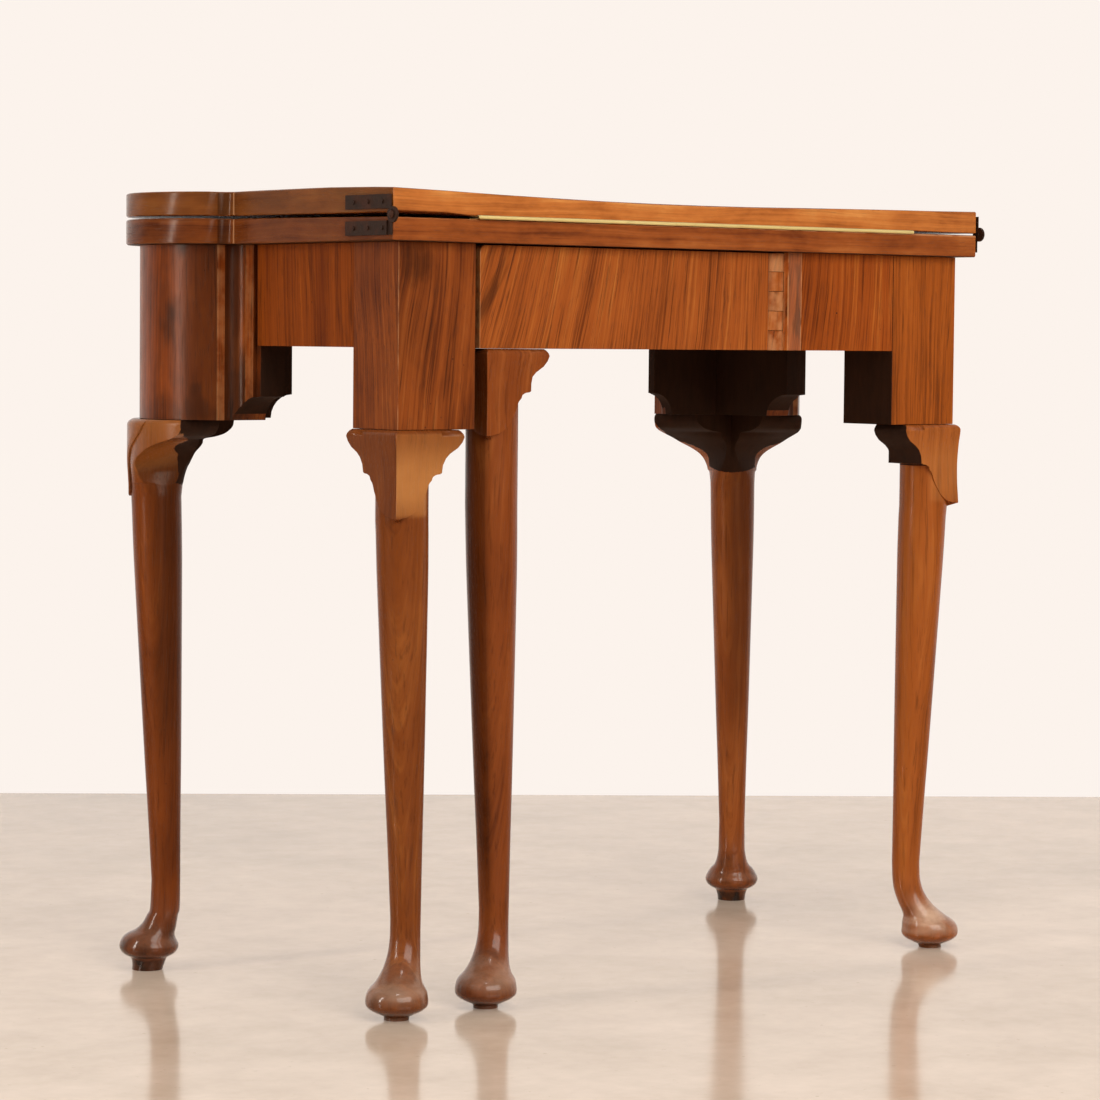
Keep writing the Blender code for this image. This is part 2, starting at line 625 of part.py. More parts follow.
def ear(name, centre, side, top, along, length, collection):
    """Build an ear bracket beside a square knee, along X on its back face or along Y on its side.

    length is how far its tip stands from the knee's other face. The tip keeps a least thickness
    at the foot of the bracket, so that a shorter bracket stays one closed body.
    """
    rings = []
    for share, reach in EAR_SHARES:
        drop = KNEE_DROP * share
        face = LEG_INSET + knee_proud(drop)
        start = -KNEE_INNER - SEAT_GAP
        end = min(LEG_INSET + KNEE_PROUD * EAR_PROUD_SHARE - length * reach, start - EAR_TIP)
        back = LEG_INSET - EAR_DEPTH
        ring = [(start, face), (end, face), (end, back), (start, back)]
        if along == "Y":
            ring = [(y, x) for x, y in ring]
        rings.append(placed(ring, centre, side, top - drop))
    return loft(name, rings, collection)


def front_leg(name, side, collection):
    """Build a front leg, whose knee is a lobe proud of the turret with an ear to each side."""
    centre = (LOBE_CENTRE_X + FRONT_LEG_OFFSET[0], LOBE_Y - FRONT_LEG_OFFSET[1])
    root = math.sqrt(2.0)
    hub_u = FRONT_KNEE_SHIFT - (FRONT_LEG_OFFSET[0] + FRONT_LEG_OFFSET[1]) / root
    hub_v = (FRONT_LEG_OFFSET[1] - FRONT_LEG_OFFSET[0]) / root
    quarter = round(math.pi / 2 / FRONT_RING_STEP)

    def ring_of(width, reach, plane, roundness, roll):
        """Section across the diagonal: u runs outwards from the shaft and v across it."""
        radius = FRONT_KNEE_RADIUS - FRONT_KNEE_ROLL * roll
        front = []
        for index in range(-quarter, quarter + 1):
            turn = index * FRONT_RING_STEP
            across = width * math.sin(turn)
            bowed = hub_u + math.sqrt(radius ** 2 - across ** 2)
            circle = SHAFT_TOP_RADIUS * math.cos(turn)
            front.append((bowed * (1 - roundness) + circle * roundness,
                          across + hub_v * (1 - roundness)))
        ear_end = ((-plane - reach) / root, (reach - plane) / root)
        corner = (-2 * plane / root, 0.0)
        path = []
        for start, end in ((front[-1], ear_end), (ear_end, corner)):
            for index in range(3):
                share = (index + 1) / 3
                path.append((start[0] + (end[0] - start[0]) * share,
                             start[1] + (end[1] - start[1]) * share))
        far = []
        for start, end in ((corner, (ear_end[0], -ear_end[1])),
                           ((ear_end[0], -ear_end[1]), front[0])):
            for index in range(3):
                share = (index + 1) / 3
                far.append((start[0] + (end[0] - start[0]) * share,
                            start[1] + (end[1] - start[1]) * share))
        path += far[:-1]
        for index, (u, v) in enumerate(path):
            turn = math.pi / 2 + (index + 1) * FRONT_RING_STEP
            circle = (SHAFT_TOP_RADIUS * math.cos(turn), SHAFT_TOP_RADIUS * math.sin(turn))
            path[index] = (u * (1 - roundness) + circle[0] * roundness,
                           v * (1 - roundness) + circle[1] * roundness)
        return [((u + v) / root, (v - u) / root) for u, v in front + path]

    rings = []
    top = TURRET_BOTTOM - SEAT_GAP
    for drop, width, reach, plane, roundness, roll in FRONT_KNEE_SHARES:
        plane_size = FRONT_EAR_PLANE * plane
        reach_size = max(FRONT_EAR_REACH * reach, plane_size + RUN_GAP)
        ring = ring_of(FRONT_KNEE_HALF_WIDTH * width, reach_size, plane_size, roundness, roll)
        rings.append(placed(ring, centre, side, top - FRONT_KNEE_DROP * drop))

    def round_ring(radius):
        """Round section with its points in the same order as the knee's."""
        points = []
        for index in range(4 * quarter):
            turn = (index - quarter) * FRONT_RING_STEP
            u, v = radius * math.cos(turn), radius * math.sin(turn)
            points.append(((u + v) / root, (v - u) / root))
        return points

    drift = (-FRONT_DRIFT[0], FRONT_DRIFT[1])
    kick = (FRONT_KICK[0], -FRONT_KICK[1])
    lower = shaft_and_foot(centre, drift, kick, side, round_ring, FRONT_FOOT_SHARES)
    rings += [ring for ring in lower if ring[0][2] < top - FRONT_KNEE_DROP - RUN_GAP]
    return loft(name, rings, collection)


def hinge_iron(name, side, up, pieces, cutters):
    """Build one iron strap on the end of a leaf, with a half-thickness eye on the pivot.

    side is 1 on the left and -1 on the right. up is 1 for the folding leaf's strap, whose eye is
    the outer one, and -1 for the fixed leaf's.
    """
    near = LEAF_GAP / 2 + IRON_EDGE_MARGIN
    far = near + IRON_WIDTH
    start = -IRON_LENGTH - PIVOT_BEHIND
    end = -IRON_EYE_RADIUS - SEAT_GAP - RUN_GAP
    inner = LEAF_HALF_WIDTH + SEAT_GAP
    outer = inner + IRON_THICKNESS
    parting = (inner + outer) / 2
    strap = [(start, near), (end, near), (end, far), (start, far)]
    strap = [(PIVOT_Y + y, PIVOT_Z + up * z) for y, z in strap]
    low, high = sorted((side * inner, side * outer))
    thing = board(name, strap, "YZ", low, high, pieces)
    lean = math.asin((near + JOIN_INSET) / IRON_EYE_RADIUS)
    corner = math.asin(PIVOT_BEHIND / IRON_EYE_RADIUS)
    eye = arc((0.0, 0.0), IRON_EYE_RADIUS, math.pi - lean, 2.5 * math.pi + corner)
    lap = end - IRON_LAP
    link = [(lap, near + JOIN_INSET)] + eye
    link += [(-PIVOT_BEHIND, far - JOIN_INSET), (lap, far - JOIN_INSET)]
    link = [(PIVOT_Y + y, PIVOT_Z + up * z) for y, z in link]
    if up > 0:
        layer = sorted((side * (parting + RUN_GAP / 4), side * (outer - JOIN_INSET)))
    else:
        layer = sorted((side * (inner + JOIN_INSET), side * (parting - RUN_GAP / 4)))
    cut(thing, board(name + "_eye", link, "YZ", layer[0], layer[1], cutters), "UNION")
    hole = arc((PIVOT_Y, PIVOT_Z), RIVET_RADIUS + RIVET_PLAY, 0.0, 2 * math.pi, 2 * ARC_STEP)[:-1]
    low, high = sorted((side * (inner - CUT_OVERRUN), side * (outer + CUT_OVERRUN)))
    cut(thing, board(name + "_hole", hole, "YZ", low, high, cutters))
    return thing


def rivet(name, side, collection):
    """Turn the domed rivet that both irons of one end swing on."""
    inner = LEAF_HALF_WIDTH + SEAT_GAP
    head = inner + IRON_THICKNESS + RUN_GAP / 2
    profile = [(inner, RIVET_RADIUS), (head, RIVET_RADIUS), (head + RUN_GAP / 4, RIVET_HEAD_RADIUS)]
    for share in (0.45, 0.8, 0.97):
        radius = RIVET_HEAD_RADIUS * math.sqrt(1 - share ** 2)
        profile.append((head + RIVET_HEAD_HEIGHT * share, radius))
    rings = []
    for along, radius in profile:
        turn = arc((PIVOT_Y, PIVOT_Z), radius, 0.0, 2 * math.pi, 2 * math.pi / RIVET_SEGMENTS)[:-1]
        rings.append([(side * along, y, z) for y, z in turn])
    return loft(name, rings, collection)


def piano_half(name, up, pieces, cutters):
    """Build one half of the long brass hinge: a flange with every other barrel length on it."""
    length = PIANO_LEFT_END + PIANO_RIGHT_END
    pitch = length / PIANO_KNUCKLES
    outer = LEAF_GAP / 2 - SEAT_GAP
    inner = outer - PIANO_FLANGE_THICKNESS
    front = TOP_BACK - PIANO_FLANGE_WIDTH
    end = -PIANO_BARREL_RADIUS - RUN_GAP
    low, high = sorted((PIVOT_Z + up * inner, PIVOT_Z + up * outer))
    thing = block(name, (-PIANO_RIGHT_END, front, low), (PIANO_LEFT_END, PIVOT_Y + end, high),
                  pieces)
    lean = math.asin((inner + JOIN_INSET) / PIANO_BARREL_RADIUS)
    roll = arc((0.0, 0.0), PIANO_BARREL_RADIUS, math.pi / 2, -math.pi - lean, 3 * ARC_STEP)
    profile = [(end - PIANO_LAP, outer - JOIN_INSET), (-PIANO_BARREL_RADIUS / 4, outer - JOIN_INSET)]
    profile += roll + [(end - PIANO_LAP, inner + JOIN_INSET)]
    profile = [(PIVOT_Y + y, PIVOT_Z + up * z) for y, z in profile]
    first = 0 if up < 0 else 1
    for number in range(first, PIANO_KNUCKLES, 2):
        low = -PIANO_RIGHT_END + pitch * number + RUN_GAP / 2
        high = -PIANO_RIGHT_END + pitch * (number + 1) - RUN_GAP / 2
        cut(thing, board(f"{name}_barrel_{number + 1}", profile, "YZ", low, high, cutters), "UNION")
    return thing


def build():
    """Build every piece of the table in its closed pose."""
    clear_scene()
    pieces = new_collection("games_table")
    cutters = new_collection("cutters_and_guides")
    looks = {}

    lower_leaf = board("lower_leaf", leaf_outline(), "XY", LOWER_LEAF_BOTTOM, LOWER_LEAF_TOP,
                       pieces)
    ease_edges(lower_leaf, LEAF_EDGE_ROUND)
    recess = BAIZE_THICKNESS + SEAT_GAP
    cut(lower_leaf, board("lower_recess", panel_outline(SEAT_GAP), "XY", LOWER_LEAF_TOP - recess,
                          LOWER_LEAF_TOP + CUT_OVERRUN, cutters))
    looks["lower_leaf"] = WALNUT_EDGE
    board("lower_baize", panel_outline(0.0), "XY", LOWER_LEAF_TOP - BAIZE_THICKNESS,
          LOWER_LEAF_TOP, pieces)
    looks["lower_baize"] = BAIZE

    upper_leaf = board("upper_leaf", leaf_outline(), "XY", UPPER_LEAF_BOTTOM, TOP_HEIGHT, pieces)
    ease_edges(upper_leaf, LEAF_EDGE_ROUND)
    cut(upper_leaf, board("upper_recess", panel_outline(SEAT_GAP), "XY",
                          UPPER_LEAF_BOTTOM - CUT_OVERRUN, UPPER_LEAF_BOTTOM + recess, cutters))
    work_in(upper_leaf)
    sag(upper_leaf)
    cut(upper_leaf, block("flange_rebate",
                          (-PIANO_RIGHT_END - RUN_GAP, TOP_BACK - PIANO_FLANGE_WIDTH - RUN_GAP,
                           UPPER_LEAF_BOTTOM - CUT_OVERRUN),
                          (PIANO_LEFT_END + RUN_GAP, TOP_BACK + CUT_OVERRUN, UPPER_LEAF_BOTTOM),
                          cutters))
    looks["upper_leaf"] = WALNUT_EDGE
    upper_baize = board("upper_baize", panel_outline(0.0), "XY", UPPER_LEAF_BOTTOM,
                        UPPER_LEAF_BOTTOM + BAIZE_THICKNESS, pieces)
    sag(upper_baize)
    looks["upper_baize"] = BAIZE

    front_rail = block("front_rail", (FRONT_ARM_END_RIGHT - LOBE_CENTRE_X + SEAT_GAP,
                                      FRAME_FRONT, RAIL_BOTTOM),
                       (LOBE_CENTRE_X - STRIP_END - SEAT_GAP, FRAME_FRONT + RAIL_THICKNESS,
                        FRAME_TOP), pieces)
    ease_edges(front_rail, EDGE_ROUND)
    looks["front_rail"] = WALNUT
    inner_back = FRAME_BACK - FLY_THICKNESS - RUN_GAP
    inner_rail = block("inner_back_rail",
                       (-POST_INNER + SEAT_GAP, inner_back - INNER_RAIL_THICKNESS,
                        RAIL_BOTTOM + INNER_RAIL_RAISE),
                       (POST_INNER - SEAT_GAP, inner_back, FRAME_TOP), pieces)
    ease_edges(inner_rail, EDGE_ROUND)
    looks["inner_back_rail"] = INSIDE_WOOD

    for side, hand, arm_end, front_arm_end in ((1, "left", ARM_END_LEFT, STRIP_END),
                                               (-1, "right", ARM_END_RIGHT, FRONT_ARM_END_RIGHT)):
        low, high = sorted((side * POST_INNER, side * FRAME_SIDE))
        post = block(f"back_post_{hand}", (low, POST_FRONT, POST_BOTTOM),
                     (high, FRAME_BACK, FRAME_TOP), pieces)
        ease_edges(post, EDGE_ROUND)
        looks[post.name] = WALNUT_BACK
        low, high = sorted((side * (FRAME_SIDE - RAIL_THICKNESS), side * FRAME_SIDE))
        rail = block(f"side_rail_{hand}", (low, LOBE_Y + arm_end + SEAT_GAP, RAIL_BOTTOM),
                     (high, POST_FRONT - SEAT_GAP, FRAME_TOP), pieces)
        ease_edges(rail, EDGE_ROUND)
        looks[rail.name] = WALNUT
        corner = turret(f"turret_{hand}", side, arm_end, front_arm_end, pieces, cutters)
        looks[corner.name] = WALNUT
        for place, line in (("back", inner_back - INNER_RAIL_THICKNESS - GLUE_BLOCK_SIDE - SEAT_GAP),
                            ("front", FRAME_FRONT + RAIL_THICKNESS + SEAT_GAP)):
            low, high = sorted((side * GLUE_BLOCK_PLACE,
                                side * (GLUE_BLOCK_PLACE - GLUE_BLOCK_LENGTH)))
            glue = block(f"glue_block_{place}_{hand}", (low, line, FRAME_TOP - GLUE_BLOCK_SIDE),
                         (high, line + GLUE_BLOCK_SIDE, FRAME_TOP), pieces)
            looks[glue.name] = INSIDE_WOOD

        centre = (FRAME_SIDE - LEG_INSET, FRAME_BACK - LEG_INSET)
        top = POST_BOTTOM - SEAT_GAP
        looks[square_leg(f"leg_back_{hand}", centre, side, top, pieces).name] = WALNUT
        looks[ear(f"ear_back_{hand}", centre, side, top, "X", EAR_REACH, pieces).name] = WALNUT
        looks[ear(f"ear_side_{hand}", centre, side, top, "Y", EAR_REACH, pieces).name] = WALNUT
        looks[front_leg(f"leg_front_{hand}", side, pieces).name] = WALNUT
        looks[hinge_iron(f"iron_lower_{hand}", side, -1, pieces, cutters).name] = IRON
        looks[hinge_iron(f"iron_upper_{hand}", side, 1, pieces, cutters).name] = IRON
        looks[rivet(f"rivet_{hand}", side, pieces).name] = IRON

    fixed_rail = block("fixed_back_rail", (SEAT_GAP - POST_INNER, FRAME_BACK - FLY_THICKNESS,
                                           RAIL_BOTTOM),
                       (KNUCKLE_AXIS_X, FRAME_BACK, FRAME_TOP), pieces)
    add_fingers(fixed_rail, -1, (0, 2, 4), cutters)
    looks["fixed_back_rail"] = WALNUT_BACK

    turn = FLY_CORNER_ROUND
    outline = [(KNUCKLE_AXIS_X, RAIL_BOTTOM), (FLY_END_X, RAIL_BOTTOM)]
    outline += arc((FLY_END_X - turn, FLY_TOP - turn), turn, 0.0, math.pi / 2, 2 * ARC_STEP)
    outline += [(KNUCKLE_AXIS_X, FLY_TOP)]
    fly_rail = board("fly_rail", outline, "XZ", FRAME_BACK - FLY_THICKNESS, FRAME_BACK, pieces)
    add_fingers(fly_rail, 1, (1, 3), cutters)
    looks["fly_rail"] = WALNUT_BACK
    centre = (FRAME_SIDE - LEG_INSET - FLY_LEG_OFFSET, FRAME_BACK - LEG_INSET)
    top = RAIL_BOTTOM - SEAT_GAP
    looks[square_leg("leg_fly", centre, 1, top, pieces).name] = WALNUT
    looks[ear("ear_fly", centre, 1, top, "X", FLY_EAR_REACH, pieces).name] = WALNUT
    rod("knuckle_pin", KNUCKLE_PIN_RADIUS, (KNUCKLE_AXIS_X, KNUCKLE_AXIS_Y, RAIL_BOTTOM),
        (KNUCKLE_AXIS_X, KNUCKLE_AXIS_Y, FRAME_TOP - SEAT_GAP), pieces)
    looks["knuckle_pin"] = IRON

    looks[piano_half("piano_hinge_lower", -1, pieces, cutters).name] = BRASS
    looks[piano_half("piano_hinge_upper", 1, pieces, cutters).name] = BRASS

    for thing in pieces.objects:
        give_finish(thing, looks[thing.name])

    moving = {
        "leaf_fold_axis": ((0.0, PIVOT_Y, PIVOT_Z),
                           ("upper_leaf", "upper_baize", "iron_upper_left", "iron_upper_right",
                            "piano_hinge_upper")),
        "gate_swing_axis": ((KNUCKLE_AXIS_X, KNUCKLE_AXIS_Y, RAIL_BOTTOM),
                            ("fly_rail", "leg_fly", "ear_fly")),
    }
    for name, (place, children) in moving.items():
        axis = bpy.data.objects.new(name, None)
        axis.location = place
        cutters.objects.link(axis)
        for child in children:
            pieces.objects[child].parent = axis
            pieces.objects[child].matrix_parent_inverse = Matrix.Translation(place).inverted()


build()
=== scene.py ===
import json
import math

import bmesh
import bpy
from mathutils import Matrix, Vector

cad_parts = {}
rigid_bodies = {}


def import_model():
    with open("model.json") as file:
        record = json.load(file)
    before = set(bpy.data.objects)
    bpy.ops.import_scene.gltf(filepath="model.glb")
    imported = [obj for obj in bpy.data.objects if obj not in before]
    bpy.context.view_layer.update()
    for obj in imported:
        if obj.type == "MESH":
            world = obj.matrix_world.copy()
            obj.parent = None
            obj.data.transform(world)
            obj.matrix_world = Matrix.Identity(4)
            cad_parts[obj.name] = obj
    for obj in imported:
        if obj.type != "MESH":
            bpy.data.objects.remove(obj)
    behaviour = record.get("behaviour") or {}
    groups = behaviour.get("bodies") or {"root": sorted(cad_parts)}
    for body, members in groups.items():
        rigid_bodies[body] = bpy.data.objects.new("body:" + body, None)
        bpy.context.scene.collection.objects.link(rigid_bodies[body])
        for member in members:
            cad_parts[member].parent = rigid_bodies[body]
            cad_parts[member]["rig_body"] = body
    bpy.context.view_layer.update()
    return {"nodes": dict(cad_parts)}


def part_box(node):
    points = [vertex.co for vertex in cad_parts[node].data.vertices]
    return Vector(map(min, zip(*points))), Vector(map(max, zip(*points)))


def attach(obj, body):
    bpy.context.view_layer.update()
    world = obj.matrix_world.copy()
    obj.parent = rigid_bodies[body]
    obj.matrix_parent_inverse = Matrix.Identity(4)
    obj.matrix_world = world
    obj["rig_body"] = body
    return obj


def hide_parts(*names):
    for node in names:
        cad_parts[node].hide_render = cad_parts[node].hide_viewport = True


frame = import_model()

# The camera looks at the back of the closed table from its left, a little below the top, with
# a long lens, as in the photograph.
yaw, pitch, roll = 0.6755, -0.059, 0.0094
eye = Vector((2.2262, 2.75755, 0.6083))
ahead = Vector((-math.sin(yaw) * math.cos(pitch), -math.cos(yaw) * math.cos(pitch), math.sin(pitch)))
level = Vector((-math.cos(yaw), math.sin(yaw), 0.0))
upright = level.cross(ahead)
across = level * math.cos(roll) + upright * math.sin(roll)
up = upright * math.cos(roll) - level * math.sin(roll)
lens = bpy.data.cameras.new("photo_view")
lens.lens = 118.63
lens.sensor_width = 36.0
lens.clip_end = 60.0
camera = bpy.data.objects.new("photo_view", lens)
camera.matrix_world = Matrix.Translation(eye) @ Matrix((across, up, -ahead)).transposed().to_4x4()
bpy.context.scene.collection.objects.link(camera)
bpy.context.scene.camera = camera


# Floor and wall: a smooth pale concrete floor with a soft shine, and a plain white wall close
# behind the table. Both are only the studio, and are no part of the table. The wall is there for
# light and reflections alone, so that it doesn't stand in the way of a view from the front.
class Sum:
    """A value in a material: arithmetic on it adds the nodes that work it out."""

    def __init__(self, wood, socket):
        self.wood = wood
        self.socket = socket

    def made(self, operation, *others, clamp=False):
        node = self.wood.tree.nodes.new("ShaderNodeMath")
        node.operation = operation
        node.use_clamp = clamp
        for slot, value in zip(node.inputs, (self, *others)):
            if isinstance(value, Sum):
                self.wood.tree.links.new(value.socket, slot)
            else:
                slot.default_value = value
        return Sum(self.wood, node.outputs[0])

    def constant(self, value):
        node = self.wood.tree.nodes.new("ShaderNodeValue")
        node.outputs[0].default_value = value
        return Sum(self.wood, node.outputs[0])

    def __add__(self, other):
        return self.made("ADD", other)

    def __radd__(self, other):
        return self.made("ADD", other)

    def __sub__(self, other):
        return self.made("SUBTRACT", other)

    def __rsub__(self, other):
        return self.constant(other).made("SUBTRACT", self)

    def __mul__(self, other):
        return self.made("MULTIPLY", other)

    def __rmul__(self, other):
        return self.made("MULTIPLY", other)

    def __rtruediv__(self, other):
        return self.constant(other).made("DIVIDE", self)

    def __pow__(self, other):
        return self.made("POWER", other)

    def clamped(self):
        return self.made("ADD", 0.0, clamp=True)

    def size(self):
        return self.made("ABSOLUTE")

    def over(self, value):
        return self.made("GREATER_THAN", value)

    def under(self, value):
        return self.made("LESS_THAN", value)

    def either(self, other):
        return self.made("MAXIMUM", other)

    def rises(self, low, high):
        """0 below low, 1 above high, smooth between them; low above high turns it round."""
        node = self.wood.tree.nodes.new("ShaderNodeMapRange")
        node.interpolation_type = "SMOOTHSTEP"
        self.wood.tree.links.new(self.socket, node.inputs["Value"])
        if low < high:
            node.inputs["From Min"].default_value = low
            node.inputs["From Max"].default_value = high
        else:
            node.inputs["From Min"].default_value = high
            node.inputs["From Max"].default_value = low
            node.inputs["To Min"].default_value = 1.0
            node.inputs["To Max"].default_value = 0.0
        return Sum(self.wood, node.outputs["Result"])


def from_screen(red, green, blue):
    """Turn a colour read off a screen, 0 to 255, into the light values that a shader takes."""
    return tuple((part / 255 / 12.92) if part <= 10.31 else ((part / 255 + 0.055) / 1.055) ** 2.4
                 for part in (red, green, blue)) + (1.0,)


class Surface:
    """A new material with its Principled shader, and short ways to add nodes to it."""

    def __init__(self, name, roughness=0.5, metallic=0.0, specular=0.5, coat=0.0, coat_roughness=0.1):
        self.material = bpy.data.materials.new(name)
        self.material.use_nodes = True
        self.tree = self.material.node_tree
        self.shader = self.tree.nodes["Principled BSDF"]
        self.shader.inputs["Roughness"].default_value = roughness
        self.shader.inputs["Metallic"].default_value = metallic
        self.shader.inputs["Specular IOR Level"].default_value = specular
        self.shader.inputs["Coat Weight"].default_value = coat
        self.shader.inputs["Coat Roughness"].default_value = coat_roughness

    def node(self, kind, settings=None, **sockets):
        """Add a node: its settings first, then values or links for its sockets by name."""
        made = self.tree.nodes.new(kind)
        for key, value in (settings or {}).items():
            setattr(made, key, value)
        for key, value in sockets.items():
            slot = made.inputs[key.replace("_", " ")]
            if isinstance(value, Sum):
                value = value.socket
            if isinstance(value, bpy.types.NodeSocket):
                self.tree.links.new(value, slot)
            else:
                slot.default_value = value
        return made

    def place(self):
        """The X, Y and Z of each point, in metres in the table's own frame."""
        where = self.node("ShaderNodeTexCoord").outputs["Object"]
        parts = self.node("ShaderNodeSeparateXYZ", Vector=where).outputs
        return tuple(Sum(self, part) for part in parts)

    def facing(self):
        """Which way each point of the surface faces, along X, Y and Z of the table's frame."""
        where = self.node("ShaderNodeTexCoord").outputs["Normal"]
        parts = self.node("ShaderNodeSeparateXYZ", Vector=where).outputs
        return tuple(Sum(self, part) for part in parts)

    def noise(self, x, y, z, detail=2.0, roughness=0.5):
        """Cloudy noise, about 0.5 in the middle, with one cloud to each unit of x, y and z."""
        spot = self.node("ShaderNodeCombineXYZ", X=x, Y=y, Z=z).outputs[0]
        made = self.node("ShaderNodeTexNoise", Vector=spot, Scale=1.0, Detail=detail,
                         Roughness=roughness)
        return Sum(self, made.outputs["Fac"])

    def dots(self, x, y, z):
        """Distance to the nearest of a scatter of points, one to each unit cube."""
        spot = self.node("ShaderNodeCombineXYZ", X=x, Y=y, Z=z).outputs[0]
        made = self.node("ShaderNodeTexVoronoi", Vector=spot, Scale=1.0)
        return Sum(self, made.outputs["Distance"])

    def mixed(self, share, first, second):
        """Blend two colours by a share between 0 and 1."""
        made = self.node("ShaderNodeMix", {"data_type": "RGBA", "clamp_factor": True})
        for slot, value in ((made.inputs[0], share), (made.inputs[6], first),
                            (made.inputs[7], second)):
            if isinstance(value, Sum):
                value = value.socket
            if isinstance(value, bpy.types.NodeSocket):
                self.tree.links.new(value, slot)
            else:
                slot.default_value = value
        return made.outputs[2]

    def paint(self, colour, roughness=None, height=None, depth=0.001):
        """Join a colour, a roughness and a height in units of depth to the shader."""
        self.tree.links.new(colour, self.shader.inputs["Base Color"])
        if roughness is not None:
            self.tree.links.new(roughness.socket, self.shader.inputs["Roughness"])
        if height is not None:
            bump = self.node("ShaderNodeBump", Height=height, Distance=depth, Strength=1.0)
            self.tree.links.new(bump.outputs[0], self.shader.inputs["Normal"])


focal_pixels, middle_pixel = 3624.9, 550.0


def floor_point(pixel_x, pixel_y):
    """Where the ray through a pixel of the photograph meets the floor."""
    ray = ahead * focal_pixels + across * (pixel_x - middle_pixel) + up * (middle_pixel - pixel_y)
    return eye - ray * (eye.z / ray.z)


def stage_plane(name, corners, material):
    """A flat sheet of the studio."""
    mesh = bpy.data.meshes.new(name)
    mesh.from_pydata(corners, [], [(0, 1, 2, 3)])
    mesh.materials.append(material)
    plane = bpy.data.objects.new(name, mesh)
    bpy.context.scene.collection.objects.link(plane)
    return plane


def glows(surface, share, colour):
    """Let the camera, and anything glossy, see a share of a plain colour on a studio surface."""
    path = surface.node("ShaderNodeLightPath").outputs
    seen = Sum(surface, path["Is Camera Ray"]).either(Sum(surface, path["Is Glossy Ray"]))
    seen = seen.either(Sum(surface, path["Is Transmission Ray"])) * share
    glow = surface.node("ShaderNodeEmission", Color=colour).outputs[0]
    both = surface.tree.nodes.new("ShaderNodeMixShader")
    surface.tree.links.new(seen.socket, both.inputs[0])
    surface.tree.links.new(surface.shader.outputs[0], both.inputs[1])
    surface.tree.links.new(glow, both.inputs[2])
    surface.tree.links.new(both.outputs[0], surface.tree.nodes["Material Output"].inputs["Surface"])


concrete = Surface("pale_concrete", roughness=0.2, specular=0.9)
x, y, z = concrete.place()
clouds = concrete.noise(x * 1.7, y * 1.7, z, detail=5.0, roughness=0.6)
stains = concrete.noise(x * 9.0, y * 9.0, z, detail=4.0, roughness=0.7)
specks = concrete.dots(x * 26.0, y * 26.0, z * 26.0).rises(0.05, 0.03)
scuffs = concrete.noise(x * 90.0, y * 90.0, z, detail=5.0, roughness=0.75).rises(0.60, 0.72)
tone = (clouds - 0.5) * 1.9 + (stains - 0.5) * 1.5 + 0.5 - specks * 0.7 - scuffs * stains * 0.8
concrete.paint(concrete.mixed(tone, from_screen(200, 176, 149), from_screen(242, 219, 196)),
               roughness=clouds * 0.10 + 0.08)
left_foot = floor_point(0.0, 793.0)
right_foot = floor_point(1100.0, 797.0)
side_room, depth_room, wall_height = 4.0, 9.0, 4.0
run = (right_foot - left_foot).normalized() * side_room
left_foot = left_foot - run
right_foot = right_foot + run
toward = Vector((-ahead.x, -ahead.y, 0.0)).normalized() * depth_room
stage_plane("studio_floor", [left_foot, right_foot, right_foot + toward, left_foot + toward],
            concrete.material)
glows(concrete, 0.1, from_screen(242, 222, 205))
wall_seen = from_screen(252, 243, 236)
plaster = Surface("white_wall", roughness=0.9, specular=0.1)
plaster.shader.inputs["Base Color"].default_value = from_screen(236, 226, 218)
glows(plaster, 1.0, wall_seen)
high = Vector((0.0, 0.0, wall_height))
wall = stage_plane("studio_wall", [left_foot, right_foot, right_foot + high, left_foot + high],
                   plaster.material)
wall.visible_camera = False
stage_plane("studio_apron", [left_foot, right_foot, right_foot - toward, left_foot - toward],
            plaster.material)



# Studio light: an even pale room, which the camera sees in the wall's own colour, a tall narrow lamp
# to the left that draws a highlight down every round face, a broad one on the camera's right that
# lights the back of the table, and a small one overhead that glints on the feet.
bpy.context.scene.view_settings.view_transform = "Standard"
room = bpy.data.worlds.new("studio_room")
room.use_nodes = True
room_nodes, join = room.node_tree.nodes, room.node_tree.links.new
lit = room_nodes["Background"]
lit.inputs["Color"].default_value = (1.0, 0.965, 0.93, 1.0)
lit.inputs["Strength"].default_value = 0.26
seen = room_nodes.new("ShaderNodeBackground")
seen.inputs["Color"].default_value = wall_seen
either_room = room_nodes.new("ShaderNodeMixShader")
join(room_nodes.new("ShaderNodeLightPath").outputs["Is Camera Ray"], either_room.inputs[0])
join(lit.outputs[0], either_room.inputs[1])
join(seen.outputs[0], either_room.inputs[2])
join(either_room.outputs[0], room_nodes["World Output"].inputs["Surface"])
bpy.context.scene.world = room


def soft_lamp(name, azimuth, height, distance, size, power, aim=(0.0, 0.0, 0.4), colour=(1, 1, 1)):
    """A flat soft lamp, turned to face the table."""
    lamp = bpy.data.lights.new(name, "AREA")
    lamp.shape = "RECTANGLE"
    lamp.size, lamp.size_y = size
    lamp.energy = power
    lamp.color = colour
    holder = bpy.data.objects.new(name, lamp)
    turn = math.radians(azimuth)
    spot = Vector((distance * math.cos(turn), distance * math.sin(turn), height))
    holder.location = spot
    holder.rotation_euler = (Vector(aim) - spot).to_track_quat("-Z", "Y").to_euler()
    bpy.context.scene.collection.objects.link(holder)


